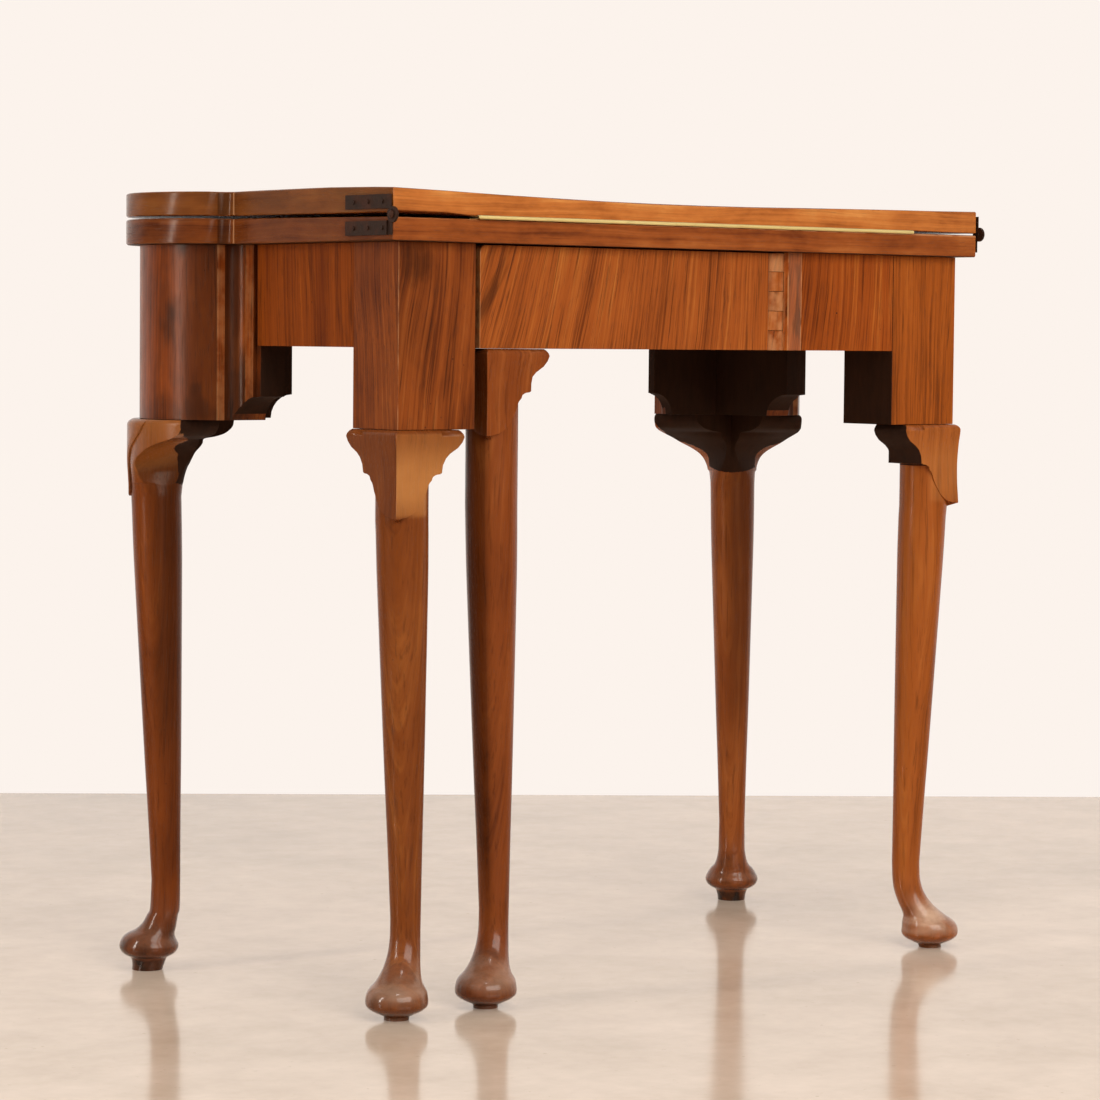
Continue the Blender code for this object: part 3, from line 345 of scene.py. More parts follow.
soft_lamp("left_window", -6.7, 1.15, 2.7, (0.18, 1.7), 27.0, colour=(1.0, 0.97, 0.93))
soft_lamp("right_softbox", 84.0, 1.9, 3.2, (2.6, 2.2), 92.0, colour=(1.0, 0.97, 0.94))
soft_lamp("overhead", 57.0, 3.2, 1.1, (0.5, 0.5), 10.0, aim=(0.2, 0.2, 0.0))


# Walnut: every outer face is polished walnut, veneer or solid. Broad bands, long streaks and short
# dark pores run along the grain, and small flight holes of old woodworm dot it. Faces that were
# never meant to be seen are bare, sawn and nearly black with age.
def walnut(name, light, mid, dark, flow=None, seed=0.0, bands=60.0, stripes=1.0, figure=0.5,
           gloss=0.34, specular=0.1, worm=0.6, grain=1.0, bare=None, rubbed_and_lit=None, painted_light=None,
           stain_and_shade=None, pale_bloom_and_sheen=None, coat=None):
    """Polished walnut, veneer or solid.

    flow gives the ways along, across and through the grain from x, y and z. bare, rubbed, golden,
    stain, paled and coat give the shares of bare inside wood, worn wood and painted light, painted
    light in gold, dark staining and painted shade, polish gone dull and grey and painted sheen, and
    thick shining polish.
    """
    wood = Surface(name, roughness=gloss, specular=specular)
    wood.shader.inputs["Specular Tint"].default_value = (1.0, 0.88, 0.76, 1.0)
    x, y, z = wood.place()
    along, side, through = flow(x, y, z) if flow else (z, x, y)
    drift = wood.noise(side * 8.0 + seed, through * 8.0, along * 2.6, detail=3.0)
    wide = side + through * 0.7 + (drift - 0.5) * 0.030
    broad = wood.noise(wide * bands + seed, through * 3.0, along * 1.1, detail=2.0)
    lines = wood.noise(wide * bands * 7.0, through * 9.0 + seed, along * 3.5, detail=4.0, roughness=0.7)
    streak = wood.noise(wide * 460.0, through * 460.0, along * 11.0 + seed, detail=3.0, roughness=0.7)
    pores = wood.noise(side * 1500.0, through * 1500.0, along * 60.0 + seed, detail=2.0)
    clouds = wood.noise(side * 15.0 + seed, through * 15.0, along * 6.0, detail=4.0, roughness=0.6)
    tone = (broad - 0.5) * (0.7 * stripes) + (lines - 0.5) * (1.4 * stripes * grain)
    tone = (tone + (clouds - 0.5) * (2.0 * figure) + 0.5).clamped()
    colour = wood.mixed(tone.rises(0.08, 0.56), from_screen(*dark), from_screen(*mid))
    colour = wood.mixed(tone.rises(0.50, 1.04), colour, from_screen(*light))
    fibres = streak.rises(0.52, 0.70)
    colour = wood.mixed(fibres * (0.7 * grain), colour, from_screen(*(part * 0.62 for part in dark)))
    pits = pores.rises(0.60, 0.70)
    colour = wood.mixed(pits * (0.4 * grain), colour, from_screen(*(part * 0.42 for part in dark)))
    holes = wood.dots(x * 95.0 + seed, y * 95.0, z * 95.0).rises(0.10, 0.06)
    patch = wood.noise(x * 19.0, y * 19.0 + seed, z * 19.0, detail=1.0).rises(0.60, 0.66)
    specks = holes * patch * worm
    colour = wood.mixed(specks, colour, from_screen(34, 16, 8))
    # Dark staining, and painted shade where a caller's mask stands for shade.
    if stain_and_shade is not None:
        colour = wood.mixed(stain_and_shade(wood, x, y, z), colour, from_screen(*(part * 0.42 for part in dark)))
    # Polish gone dull and grey, and a painted sheen on the pads.
    if pale_bloom_and_sheen is not None:
        colour = wood.mixed(pale_bloom_and_sheen(wood, x, y, z), colour, from_screen(206, 168, 140))
    # Worn wood, and painted light on the turrets' shoulders and strips.
    if rubbed_and_lit is not None:
        worn = wood.noise(x * 60.0, y * 60.0, z * 60.0 + seed, detail=3.0).rises(0.30, 0.62)
        colour = wood.mixed(rubbed_and_lit(wood, x, y, z) * worn * 0.75, colour, from_screen(214, 156, 104))
    # Painted light in gold on the knees.
    if painted_light is not None:
        colour = wood.mixed(painted_light(wood, x, y, z), colour, from_screen(212, 144, 80))
    polish = clouds * 0.10 + pits * 0.2 + (gloss - 0.05)
    height = (fibres * -0.25 - pits * 0.5) - specks * 2.0 + (clouds - 0.5) * 1.6 + (broad - 0.5)
    if bare is not None:
        inside = bare(wood, x, y, z)
        saw = wood.noise(x * 120.0 + seed, y * 120.0, z * 24.0, detail=4.0, roughness=0.7)
        age = wood.mixed(saw, from_screen(30, 16, 9), from_screen(58, 31, 16))
        colour = wood.mixed(inside, colour, age)
        polish = polish + inside * 0.5
        height = height + inside * saw * 2.0
    wood.paint(colour, roughness=polish, height=height, depth=0.00011)
    if coat is not None:
        wood.shader.inputs["Coat Roughness"].default_value = 0.12
        wood.tree.links.new(coat(wood, x, y, z).socket, wood.shader.inputs["Coat Weight"])
    return wood.material


glue_line = 0.0003


def joined_copy(node):
    """A copy of a sawn piece's mesh with its loose triangles joined."""
    work = bmesh.new()
    work.from_mesh(frame["nodes"][node].data)
    bmesh.ops.remove_doubles(work, verts=work.verts, dist=0.00002)
    return work


def worked_mesh(piece):
    """A new mesh that has what a piece's modifiers make of it."""
    bpy.context.view_layer.update()
    depsgraph = bpy.context.evaluated_depsgraph_get()
    return bpy.data.meshes.new_from_object(piece.evaluated_get(depsgraph))


def eased_mesh(name, work, ease=0.0005, sharp=40.0, clean=True):
    """Round the sharp arrises of a mesh a little and smooth the curves between them."""
    if clean:
        bmesh.ops.dissolve_limit(work, angle_limit=math.radians(0.3), verts=work.verts,
                                 edges=work.edges)
    mesh = bpy.data.meshes.new(name)
    work.to_mesh(mesh)
    work.free()
    if ease:
        rough = bpy.data.objects.new(name + "_rough", mesh)
        bpy.context.scene.collection.objects.link(rough)
        rounding = rough.modifiers.new("arris", "BEVEL")
        rounding.width = ease
        rounding.segments = 2
        rounding.limit_method = "ANGLE"
        rounding.angle_limit = math.radians(40.0)
        finished = worked_mesh(rough)
        bpy.data.objects.remove(rough, do_unlink=True)
        bpy.data.meshes.remove(mesh)
        finished.name = name
        mesh = finished
    mesh.shade_smooth()
    mesh.set_sharp_from_angle(angle=math.radians(sharp))
    return mesh


def fit(name, mesh, material, *nodes, slot="walnut"):
    """Put a finished piece in the place of the sawn ones that it is worked from.

    Its broad faces are shaded flat up to the rounding of their arrises.
    """
    mesh.materials.clear()
    mesh.materials.append(material)
    piece = bpy.data.objects.new(name, mesh)
    bpy.context.scene.collection.objects.link(piece)
    flatten = piece.modifiers.new("flat_faces", "WEIGHTED_NORMAL")
    flatten.keep_sharp = True
    finished = worked_mesh(piece)
    piece.modifiers.clear()
    piece.data = finished
    bpy.data.meshes.remove(mesh)
    finished.name = name
    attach(piece, frame["nodes"][nodes[0]]["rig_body"])
    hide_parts(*nodes)


def planed(node, butted=(), ease=0.0005):
    """A board of a sawn one's size.

    butted names sides that are glued up tight to a neighbour, such as +Y: that side is moved out
    over the glue line and its arrises stay sharp.
    """
    low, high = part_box(node)
    low, high = list(low), list(high)
    for side in butted:
        axis = "XYZ".index(side[1])
        if side[0] == "+":
            high[axis] += glue_line
        else:
            low[axis] -= glue_line
    work = bmesh.new()
    bmesh.ops.create_cube(work, size=1.0)
    bmesh.ops.scale(work, vec=[b - a for a, b in zip(low, high)], verts=work.verts)
    bmesh.ops.translate(work, vec=[(a + b) / 2 for a, b in zip(low, high)], verts=work.verts)

    def on_glue_line(edge):
        for side in butted:
            axis = "XYZ".index(side[1])
            level = high[axis] if side[0] == "+" else low[axis]
            if all(abs(vertex.co[axis] - level) < 0.00001 for vertex in edge.verts):
                return True
        return False

    arrises = [edge for edge in work.edges if not on_glue_line(edge)]
    bmesh.ops.bevel(work, geom=arrises, offset=ease, segments=2, profile=0.5, affect="EDGES",
                    clamp_overlap=True)
    return eased_mesh(node + "_planed", work, ease=0.0, clean=False)


# Posts and side rails: the two back posts are square blocks, and one sheet of upright veneer runs
# over each side rail and the outer face of its post. The left post's back has a dark knot.
side_line, back_line = 0.3424, 0.19105
post_inner = 0.257
rail_foot, post_foot = 0.5966, 0.5244


def post_inside(wood, x, y, z):
    """Bare wood on the inner, front and under faces of a post."""
    nx, ny, nz = wood.facing()
    inner = x.size().under(post_inner + 0.0006)
    front = ny.under(-0.6)
    return inner.either(front).either(nz.under(-0.6))


def corner_wear(wood, x, y, z):
    """The worn upright arris at the table's back corners."""
    upright = x.size().over(side_line - 0.0006) * y.over(back_line - 0.0006)
    return upright * 0.45


def upright_lean(amount, middle, change=0.0):
    """Upright grain that leans towards +X on its way down, more so on one side."""
    def flow(x, y, z):
        return z, x + (z - 0.64) * ((x - middle) * change + amount), y
    return flow


def post_flow(x, y, z):
    """Upright grain, bent round the knot on the left post's back face."""
    near = ((x - 0.318) * 24.0) ** 2.0 + ((z - 0.675) * 15.0) ** 2.0
    bend = 1.0 / (near + 1.0)
    return z, x + y * 0.9 + bend * 0.022 + (z - 0.6) * 0.05, y * 0.6


def knot_stain(wood, x, y, z):
    """The dark knot near the top of the left post's back face."""
    cloud = wood.noise(x * 55.0, y * 55.0, z * 35.0, detail=3.0)
    near = (((x - 0.322) * 46.0) ** 2.0 + ((z - 0.672) * 46.0) ** 2.0) + (cloud - 0.5) * 2.4
    back = y.over(back_line - 0.001)
    wide = ((x - 0.332) * 26.0) ** 2.0 + ((z - 0.66) * 9.0) ** 2.0 + (cloud - 0.5) * 2.0
    return (near.rises(1.1, 0.1) * 0.75 + wide.rises(1.3, 0.3) * 0.30) * back


def left_post_shade(wood, x, y, z):
    """The same knot, faded as it is under the old polish."""
    return knot_stain(wood, x, y, z) * 0.55


post_left = walnut("left_post_veneer", (174, 103, 48), (138, 68, 25), (88, 39, 15), flow=post_flow,
                   seed=5.7, bands=46.0, stripes=0.85, figure=0.6, bare=post_inside, rubbed_and_lit=corner_wear,
                   stain_and_shade=left_post_shade)
fit("back_post_left_block", planed("back_post_left", butted=("-Y",)), post_left, "back_post_left")


def along_side(x, y, z):
    """Upright grain on a side rail, where the streaks are spread along Y."""
    return z, y + (z - 0.64) * 0.05, x


side_veneer = walnut("side_rail_veneer", (160, 80, 22), (134, 62, 15), (98, 41, 11), flow=along_side,
                     seed=1.3, bands=58.0, figure=0.35, specular=0.05)
fit("side_rail_left_board", planed("side_rail_left", butted=("+Y",)), side_veneer, "side_rail_left")
fit("side_rail_right_board", planed("side_rail_right", butted=("+Y",)), side_veneer,
    "side_rail_right")
front_veneer = walnut("front_rail_veneer", (162, 80, 26), (134, 60, 18), (94, 38, 12),
                      flow=upright_lean(0.08, 0.0), seed=4.4, bands=52.0, figure=0.45)
fit("front_rail_board", planed("front_rail"), front_veneer, "front_rail")


# Back rails: the fixed rail and the right post are faced with one sheet of veneer, whose streaks
# lean a little, and the swinging fly rail with another. Where they meet, the rails are cut into the
# five round fingers of a wooden hinge, rubbed pale by use, with a lipping of darker wood beside it.
hinge_x = -0.1065


def knuckle_wear(wood, x, y, z):
    """Rubbed wood on the round fingers of the hinge, and pale lines along the lipping's edges."""
    near = (x - hinge_x).size()
    barrel = near.rises(0.0115, 0.0085) * 0.62
    line = (x - (hinge_x - 0.0128)).size().under(0.0005).either(
        (x - (hinge_x - 0.0290)).size().under(0.0005))
    nx, ny, nz = wood.facing()
    return barrel.either(line * 0.7) * nz.size().under(0.7)


def lipping(wood, x, y, z):
    """The greyer strip of wood between the fingers and the fixed rail's veneer, dark in streaks."""
    strip = x.under(hinge_x - 0.0128) * x.over(hinge_x - 0.0290)
    age = wood.noise(x * 160.0, y * 160.0, z * 26.0, detail=3.0)
    return strip * age.rises(0.46, 0.62) * 0.5


def lipping_bloom(wood, x, y, z):
    """The same strip's polish, gone dull and grey."""
    strip = x.under(hinge_x - 0.0128) * x.over(hinge_x - 0.0290)
    age = wood.noise(x * 90.0, y * 90.0 + 4.0, z * 20.0, detail=3.0)
    return strip * age * 0.22


def rail_inside(wood, x, y, z):
    """Bare wood on the hidden faces of a back rail."""
    nx, ny, nz = wood.facing()
    return ny.under(-0.5).either(nz.under(-0.6))


fixed_veneer = walnut("fixed_rail_veneer", (188, 106, 40), (152, 72, 22), (102, 43, 11),
                      flow=upright_lean(0.15, -0.12, 0.9), seed=8.4, bands=50.0, bare=rail_inside,
                      rubbed_and_lit=knuckle_wear, stain_and_shade=lipping, pale_bloom_and_sheen=lipping_bloom, worm=1.0)
fixed = joined_copy("fixed_back_rail")
for vertex in fixed.verts:
    if vertex.co.x < 0.0005 - post_inner:
        vertex.co.x -= glue_line
fit("fixed_back_rail_board", eased_mesh("fixed_back_rail_board", fixed, ease=0.0004),
    fixed_veneer, "fixed_back_rail")


def right_post_flow(x, y, z):
    """The same streaks as the fixed rail beside it, standing upright by the corner."""
    return z, x + y * 0.9 + (z - 0.64) * 0.03, y * 0.5


right_post_veneer = walnut("right_post_veneer", (190, 110, 44), (161, 82, 27), (114, 54, 16),
                           flow=right_post_flow, seed=8.4, bands=50.0, bare=post_inside,
                           rubbed_and_lit=corner_wear, figure=0.35)
fit("back_post_right_block", planed("back_post_right", butted=("-Y", "+X")), right_post_veneer,
    "back_post_right")


def fly_stain(wood, x, y, z):
    """Dark figure near the free end of the fly rail."""
    cloud = wood.noise((x + z * 0.55) * 60.0, y * 20.0, z * 9.0, detail=3.0)
    return x.rises(0.185, 0.25) * cloud.rises(0.50, 0.68) * 0.65


def fly_wear(wood, x, y, z):
    """Rubbed wood on the fly rail's fingers, and down its free end."""
    nx, ny, nz = wood.facing()
    barrel = (x - hinge_x).size().rises(0.0115, 0.0085) * 0.5
    edge = x.over(0.2517) * 0.4
    return barrel.either(edge) * nz.size().under(0.7)


fly_veneer = walnut("fly_rail_veneer", (190, 115, 50), (159, 81, 31), (108, 51, 18),
                    flow=upright_lean(0.16, 0.06, 0.85), seed=3.1, bands=64.0, figure=0.35,
                    bare=rail_inside, rubbed_and_lit=fly_wear, stain_and_shade=fly_stain, worm=1.0)
fit("fly_rail_board", eased_mesh("fly_rail_board", joined_copy("fly_rail"), ease=0.0005), fly_veneer,
    "fly_rail")


# Turrets: each front corner is a lobe of more than half a circle, glued up from solid blocks and
# faced with bent veneer of dark, cloudy figure. Inside, the blocks are left bare and dark.
def turret_inside(wood, x, y, z):
    """Bare wood on the inner and under faces of a turret and on its sawn ends."""
    nx, ny, nz = wood.facing()
    inner = x.size().under(0.3124) * y.over(-0.1415)
    sawn_end = y.over(-0.0300) * ny.over(0.6)
    return inner.either(nz.under(-0.35)).either(sawn_end)


def turret_smoke_and_shade(wood, x, y, z):
    """Smoky dark figure round the lobe, but not on the flat strip beside the side rail, and painted
    shade in the cove beside the shoulder.
    """
    cloud = wood.noise(x * 16.0 + 3.0, y * 16.0, z * 9.0, detail=3.0, roughness=0.55)
    strip = x.size().over(0.3419) * y.over(-0.0480)
    shoulder = y.over(-0.0606) * x.size().over(0.3572)
    nx, ny, nz = wood.facing()
    # hollow and edge are painted shade in the cove beside the shoulder.
    hollow = x.size().over(0.3426) * x.size().under(0.3547) * y.over(-0.0607) * (1 - strip)
    hollow = hollow * ny.rises(0.15, 0.75) * 0.75
    edge = y.over(-0.0613) * x.size().over(0.3542) * x.size().under(0.3573) * 0.8
    back_of_lobe = y.rises(-0.098, -0.074) * y.under(-0.0609) * x.size().over(0.3500) * 0.6
    smoke = cloud.rises(0.40, 0.62) * 0.8 * (1 - strip) * (1 - shoulder)
    return smoke.either(hollow).either(back_of_lobe).either(edge)


def turret_wear_and_light(wood, x, y, z):
    """Worn wood and painted light on the square shoulder beside the lobe and on the flat strip next
    to the rail.
    """
    nx, ny, nz = wood.facing()
    shoulder = y.over(-0.0613) * y.under(-0.0597) * x.size().over(0.3573) * ny.over(0.7)
    strip = x.size().over(0.3419) * y.over(-0.0490) * nx.size().over(0.7)
    return shoulder * 0.3 + strip * 0.22


turret_veneer = walnut("turret_veneer", (172, 90, 34), (130, 60, 18), (74, 32, 11),
                       flow=lambda x, y, z: (z, x + y * 0.4, y), seed=2.2, bands=44.0, stripes=0.8,
                       figure=0.8, gloss=0.3, specular=0.2, bare=turret_inside,
                       rubbed_and_lit=turret_wear_and_light, stain_and_shade=turret_smoke_and_shade)
for hand in ("left", "right"):
    node = "turret_" + hand
    fit(node + "_block", eased_mesh(node + "_block", joined_copy(node), ease=0.0005), turret_veneer,
        node)


# Top: two leaves of the same lobed outline, veneered on both faces. The edges are faced with strips
# whose grain runs round the edge, and the upper leaf has sagged a little in its middle.
leaf_side, leaf_back, leaf_front = 0.3582, 0.20405, -0.1614


def leaf_faces(wood, x, y, z, share):
    """Cross-banded border and quartered field on the flat faces, as a colour; share is not used."""
    rim = (leaf_side - x.size()).made("MINIMUM", leaf_back - y).made("MINIMUM", y - leaf_front)
    field = rim.rises(0.0375, 0.0382)
    line = (rim - 0.0420).size().rises(0.0026, 0.0020)
    over_side = (leaf_side - x.size()).under(0.038)
    spread = over_side * y + (1 - over_side) * x
    border = wood.noise(spread * 90.0, z * 2.0, rim * 6.0, detail=4.0, roughness=0.6)
    inner_x, inner_y = x.size(), (y - 0.021).size()
    swirl = wood.noise(inner_x * 5.0, inner_y * 5.0, z, detail=2.0)
    grown = wood.noise((inner_y + inner_x * 0.35 + swirl * 0.16) * 46.0, inner_x * 3.0, z, detail=4.0,
                       roughness=0.6)
    fine = wood.noise(x * 14.0, y * 520.0, z, detail=2.0)
    veneer = wood.mixed(grown.rises(0.30, 0.70), from_screen(92, 44, 22), from_screen(176, 100, 48))
    veneer = wood.mixed(fine.rises(0.52, 0.70) * 0.4, veneer, from_screen(70, 32, 16))
    banding = wood.mixed(border.rises(0.30, 0.70), from_screen(106, 52, 24), from_screen(172, 96, 44))
    feather = wood.dots(x * 300.0 + y * 300.0, x * 300.0 - y * 300.0, z).rises(0.30, 0.60)
    string = wood.mixed(feather, from_screen(84, 44, 22), from_screen(206, 150, 88))
    face = wood.mixed(field, banding, veneer)
    return wood.mixed(line, face, string)


def leaf_walnut(name, light, mid, dark, seed, worn_level, stain_and_shade, bare_under=False):
    """Edges with the grain running round them, and veneered flat faces, or a bare one beneath.

    The edges are worn pale at the arris that stands at worn_level, and carry painted shade and a
    painted highlight in the cove by each lobe.
    """
    wood = Surface(name, roughness=0.3, specular=0.14)
    wood.shader.inputs["Specular Tint"].default_value = (1.0, 0.9, 0.8, 1.0)
    x, y, z = wood.place()
    nx, ny, nz = wood.facing()
    drift = wood.noise(x * 7.0 + seed, y * 7.0, z * 12.0, detail=2.0)
    level = z + (drift - 0.5) * 0.012
    broad = wood.noise(x * 3.5, y * 3.5 + seed, level * 230.0, detail=3.0, roughness=0.6)
    clouds = wood.noise(x * 16.0 + seed, y * 16.0, level * 40.0, detail=4.0, roughness=0.6)
    streak = wood.noise(x * 14.0, y * 14.0 + seed, level * 900.0, detail=2.0)
    pores = wood.noise(x * 70.0, y * 70.0 + seed, z * 1700.0, detail=2.0)
    tone = ((broad - 0.5) * 0.9 + (clouds - 0.5) * 1.2 + 0.5).clamped()
    colour = wood.mixed(tone.rises(0.08, 0.56), from_screen(*dark), from_screen(*mid))
    colour = wood.mixed(tone.rises(0.46, 0.98), colour, from_screen(*light))
    fibres = streak.rises(0.54, 0.70)
    colour = wood.mixed(fibres * 0.22, colour, from_screen(*(part * 0.62 for part in dark)))
    pits = pores.rises(0.60, 0.70)
    colour = wood.mixed(pits * 0.28, colour, from_screen(*(part * 0.42 for part in dark)))
    # Painted shade, darker on the side edges than on the back edge.
    colour = wood.mixed(stain_and_shade(wood, x, y, z), colour, from_screen(*(part * 0.5 for part in dark)))
    # Painted shade in the cove beside each lobe's shoulder.
    hollow = x.size().over(leaf_side + 0.0002) * x.size().under(leaf_side + 0.0106)
    hollow = hollow * y.over(-0.0560) * y.under(-0.0455) * ny.rises(0.15, 0.7)
    colour = wood.mixed(hollow * 0.6, colour, from_screen(*(part * 0.4 for part in dark)))
    # A pale line painted down the cove's end is a painted highlight; the pale arris along the back is
    # wear.
    painted_cove_highlight = (y + 0.0450).size().under(0.0011) * x.size().under(leaf_side + 0.0012)
    worn = wood.noise(x * 50.0, y * 50.0, seed, detail=3.0).rises(0.30, 0.60)
    arris = (z - worn_level).size().under(0.0009) * y.over(leaf_back - 0.0009) * worn
    colour = wood.mixed((painted_cove_highlight * 0.4).either(arris * 0.4), colour, from_screen(226, 168, 120))
    flat = nz.size().rises(0.80, 0.90)
    colour = wood.mixed(flat, colour, leaf_faces(wood, x, y, z, flat))
    polish = clouds * 0.10 + pits * 0.2 + 0.15
    if bare_under:
        under = nz.under(-0.8)
        saw = wood.noise(x * 30.0, y * 210.0, z, detail=4.0, roughness=0.7)
        colour = wood.mixed(under, colour, wood.mixed(saw, from_screen(62, 36, 20),
                                                      from_screen(104, 66, 38)))
        polish = polish + under * 0.4
    height = (fibres * -0.25 - pits * 0.5) + (clouds - 0.5) * 1.4
    wood.paint(colour, roughness=polish, height=height * (1 - flat * 0.6), depth=0.0001)
    return wood.material


def painted_end_shade(least):
    """Painted shade: the side edges are painted darker than the back edge, by at least a given share."""
    def stain_and_shade(wood, x, y, z):
        cloud = wood.noise(x * 20.0, y * 20.0, z * 60.0, detail=2.0)
        return y.under(leaf_back - 0.0009) * (cloud * 0.4 + least)
    return stain_and_shade


# Both leaves carry painted shade on their side edges.
upper_walnut = leaf_walnut("upper_leaf_walnut", (214, 144, 76), (190, 112, 52), (145, 77, 33), 4.6,
                           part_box("upper_leaf")[0][2], stain_and_shade=painted_end_shade(0.54))
lower_walnut = leaf_walnut("lower_leaf_walnut", (176, 103, 50), (145, 75, 32), (97, 45, 20), 6.2,
                           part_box("lower_leaf")[1][2], stain_and_shade=painted_end_shade(0.26),
                           bare_under=True)
back_rise = ((-0.36, 0.0), (-0.33, 0.1), (-0.29, 0.6), (-0.237, 1.1), (-0.186, 1.2), (-0.112, 0.9),
             (-0.038, 0.1), (0.034, -0.1), (0.105, -0.2), (0.174, 0.3), (0.245, 0.6), (0.30, 1.1),
             (0.42, 0.9))
side_rise = ((-0.22, 1.9), (-0.05, 2.2), (0.0, 2.4), (0.10, 2.5), (0.17, 1.3), (0.21, 0.0))


def read_off(table, place):
    """Read a table of (place, value) rows between its rows, and its end rows beyond them."""
    for (start, first), (end, last) in zip(table, table[1:]):
        if min(start, end) <= place <= max(start, end):
            return first + (last - first) * (place - start) / (end - start)
    return min(table, key=lambda row: abs(row[0] - place))[1]


def warped(node):
    """A leaf that has warped with age: its left side has lifted and swollen by 2 or 3 mm."""
    work = joined_copy(node)
    cuts = [((0.0, station, 0.0), (0.0, 1.0, 0.0))
            for station in (0.197, 0.175, 0.140, 0.105, 0.070, 0.035, 0.0)]
    cuts += [((station, 0.0, 0.0), (1.0, 0.0, 0.0)) for station in (0.266, 0.272)]
    for spot, way in cuts:
        everything = list(work.verts) + list(work.edges) + list(work.faces)
        bmesh.ops.bisect_plane(work, geom=everything, plane_co=spot, plane_no=way, dist=0.00001)
    low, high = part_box(node)
    for vertex in work.verts:
        x, y, z = vertex.co
        left = min(1.0, max(0.0, (x + 0.05) / 0.40)) ** 2
        forward = min(1.0, max(0.0, (0.20 - y) / 0.22))
        right = min(1.0, max(0.0, (-0.285 - x) / 0.07))
        outside = abs(x) > 0.2915 or y < -0.0960
        top = (z - low[2]) / (high[2] - low[2])
        if node == "upper_leaf":
            lift = read_off(back_rise, x) + read_off(side_rise, y) * left
            if top > 0.5:
                vertex.co.z += lift * 0.001
            elif outside:
                cut = 1.7 if y > 0.2 and x > 0.271 else 0.0
                vertex.co.z += (1.7 * left * forward - 1.0 * right + cut) * 0.001
        elif top > 0.5 and outside:
            vertex.co.z += (2.7 * left * forward + 1.0 * right) * 0.001
    return work


for node, material in (("upper_leaf", upper_walnut), ("lower_leaf", lower_walnut)):
    fit(node + "_board", eased_mesh(node + "_board", warped(node), ease=0.0, sharp=35.0,
                                    clean=False), material, node, slot="walnut_edge")


# Back legs and fly leg: each is solid walnut, with a square knee that follows the post's corner, a
# shield-shaped tongue carved down its outer arris, a round tapering shaft and a turned pad foot.
leg_inset, shaft_radius, shaft_top, ankle_radius, ankle_height = 0.0200, 0.02375, 0.4550, 0.0138, 0.0870
pad_radius, knee_inner, knee_stands, knee_drop, tongue_drop = 0.0282, 0.0247, 0.0058, 0.0390, 0.0775
shaft_swell = ((1.0, 1.0), (0.86, 0.945), (0.73, 0.82), (0.59, 0.67), (0.45, 0.52), (0.31, 0.36),
               (0.17, 0.18), (0.0, -0.005))
back_foot_turning = ((1.0, 0.487, 0.0), (0.91, 0.486, 0.01), (0.80, 0.49, 0.03), (0.69, 0.51, 0.10),
                     (0.60, 0.54, 0.22), (0.50, 0.60, 0.42), (0.42, 0.68, 0.64), (0.365, 0.77, 0.80),
                     (0.325, 0.87, 0.90), (0.285, 0.945, 0.96), (0.235, 0.985, 1.0),
                     (0.180, 1.0, 1.0), (0.140, 0.97, 1.0), (0.105, 0.86, 1.0), (0.077, 0.70, 1.0),
                     (0.052, 0.53, 1.0), (0.037, 0.42, 1.0), (0.0, 0.40, 1.03))
front_foot_turning = ((1.0, 0.487, 0.0), (0.69, 0.505, 0.05), (0.61, 0.525, 0.19),
                      (0.517, 0.582, 0.37), (0.448, 0.674, 0.60), (0.407, 0.787, 0.85),
                      (0.356, 0.887, 1.0), (0.276, 1.0, 1.0), (0.214, 0.954, 1.0), (0.17, 0.82, 1.0),
                      (0.136, 0.624, 1.0), (0.069, 0.546, 1.03), (0.0, 0.518, 1.1))
knee_face = ((0.0, 0.27), (0.013, 0.60), (0.039, 0.89), (0.084, 1.0), (0.26, 0.80), (0.50, 0.66),
             (0.75, 0.70), (0.90, 0.80), (1.0, 0.86))
tongue_width = ((0.0, 0.91), (0.05, 0.83), (0.13, 0.80), (0.22, 0.735), (0.39, 0.68), (0.56, 0.607),
                (0.73, 0.52), (0.857, 0.415), (0.943, 0.287), (0.987, 0.138), (1.0, 0.06))
arris_round = 0.0011
step_down = 0.0004
round_points, moving_points = 44, 7


def filled_in(table, steps):
    """A table of rows with smooth rows set in between."""
    rows = []
    for index in range(len(table) - 1):
        near = [table[min(max(index + step, 0), len(table) - 1)] for step in (-1, 0, 1, 2)]
        for step in range(steps):
            t = step / steps
            rows.append(tuple(0.5 * (2 * b + (c - a) * t + (2 * a - 5 * b + 4 * c - d) * t * t
                                     + (3 * b - a - 3 * c + d) * t ** 3)
                              for a, b, c, d in zip(*near)))
    rows.append(table[-1])
    return rows


smooth_face = filled_in(knee_face, 4)


def stands(drop):
    """How far a square knee's face stands out at a depth below its top."""
    return leg_inset + knee_stands * read_off(smooth_face, min(1.0, drop / tongue_drop))


def arris(face):
    """The three points of a square knee's rounded outer arris, in order round the leg."""
    r = arris_round
    return ([(face - r * 0.29, face - r * 0.29), (face, face - r)], [(face - r, face)])


def square_section(face):
    """The outline of a square knee whose outer faces stand at face."""
    back = -knee_inner
    first, last = arris(face)
    half = round_points // 2
    points = first + [(face, (face + back) / 2), (face, back + step_down)]
    points += [(face + (back - face) * index / half, back) for index in range(half)]
    points += [(back, back + (face - back) * index / half) for index in range(half + 1)]
    return points + [(back + step_down, face), ((face + back) / 2, face)] + last


def turns(spread):
    """The turns round a shaft, clear of its outer side by spread each way."""
    quarter = math.pi / 2
    fixed = round_points - 2 * moving_points
    near = [spread + (quarter - spread) * index / moving_points for index in range(moving_points)]
    far = [quarter + math.pi * index / fixed for index in range(fixed + 1)]
    return [math.pi / 4 - turn for turn in near + far + [2 * math.pi - turn for turn in near[::-1]]]


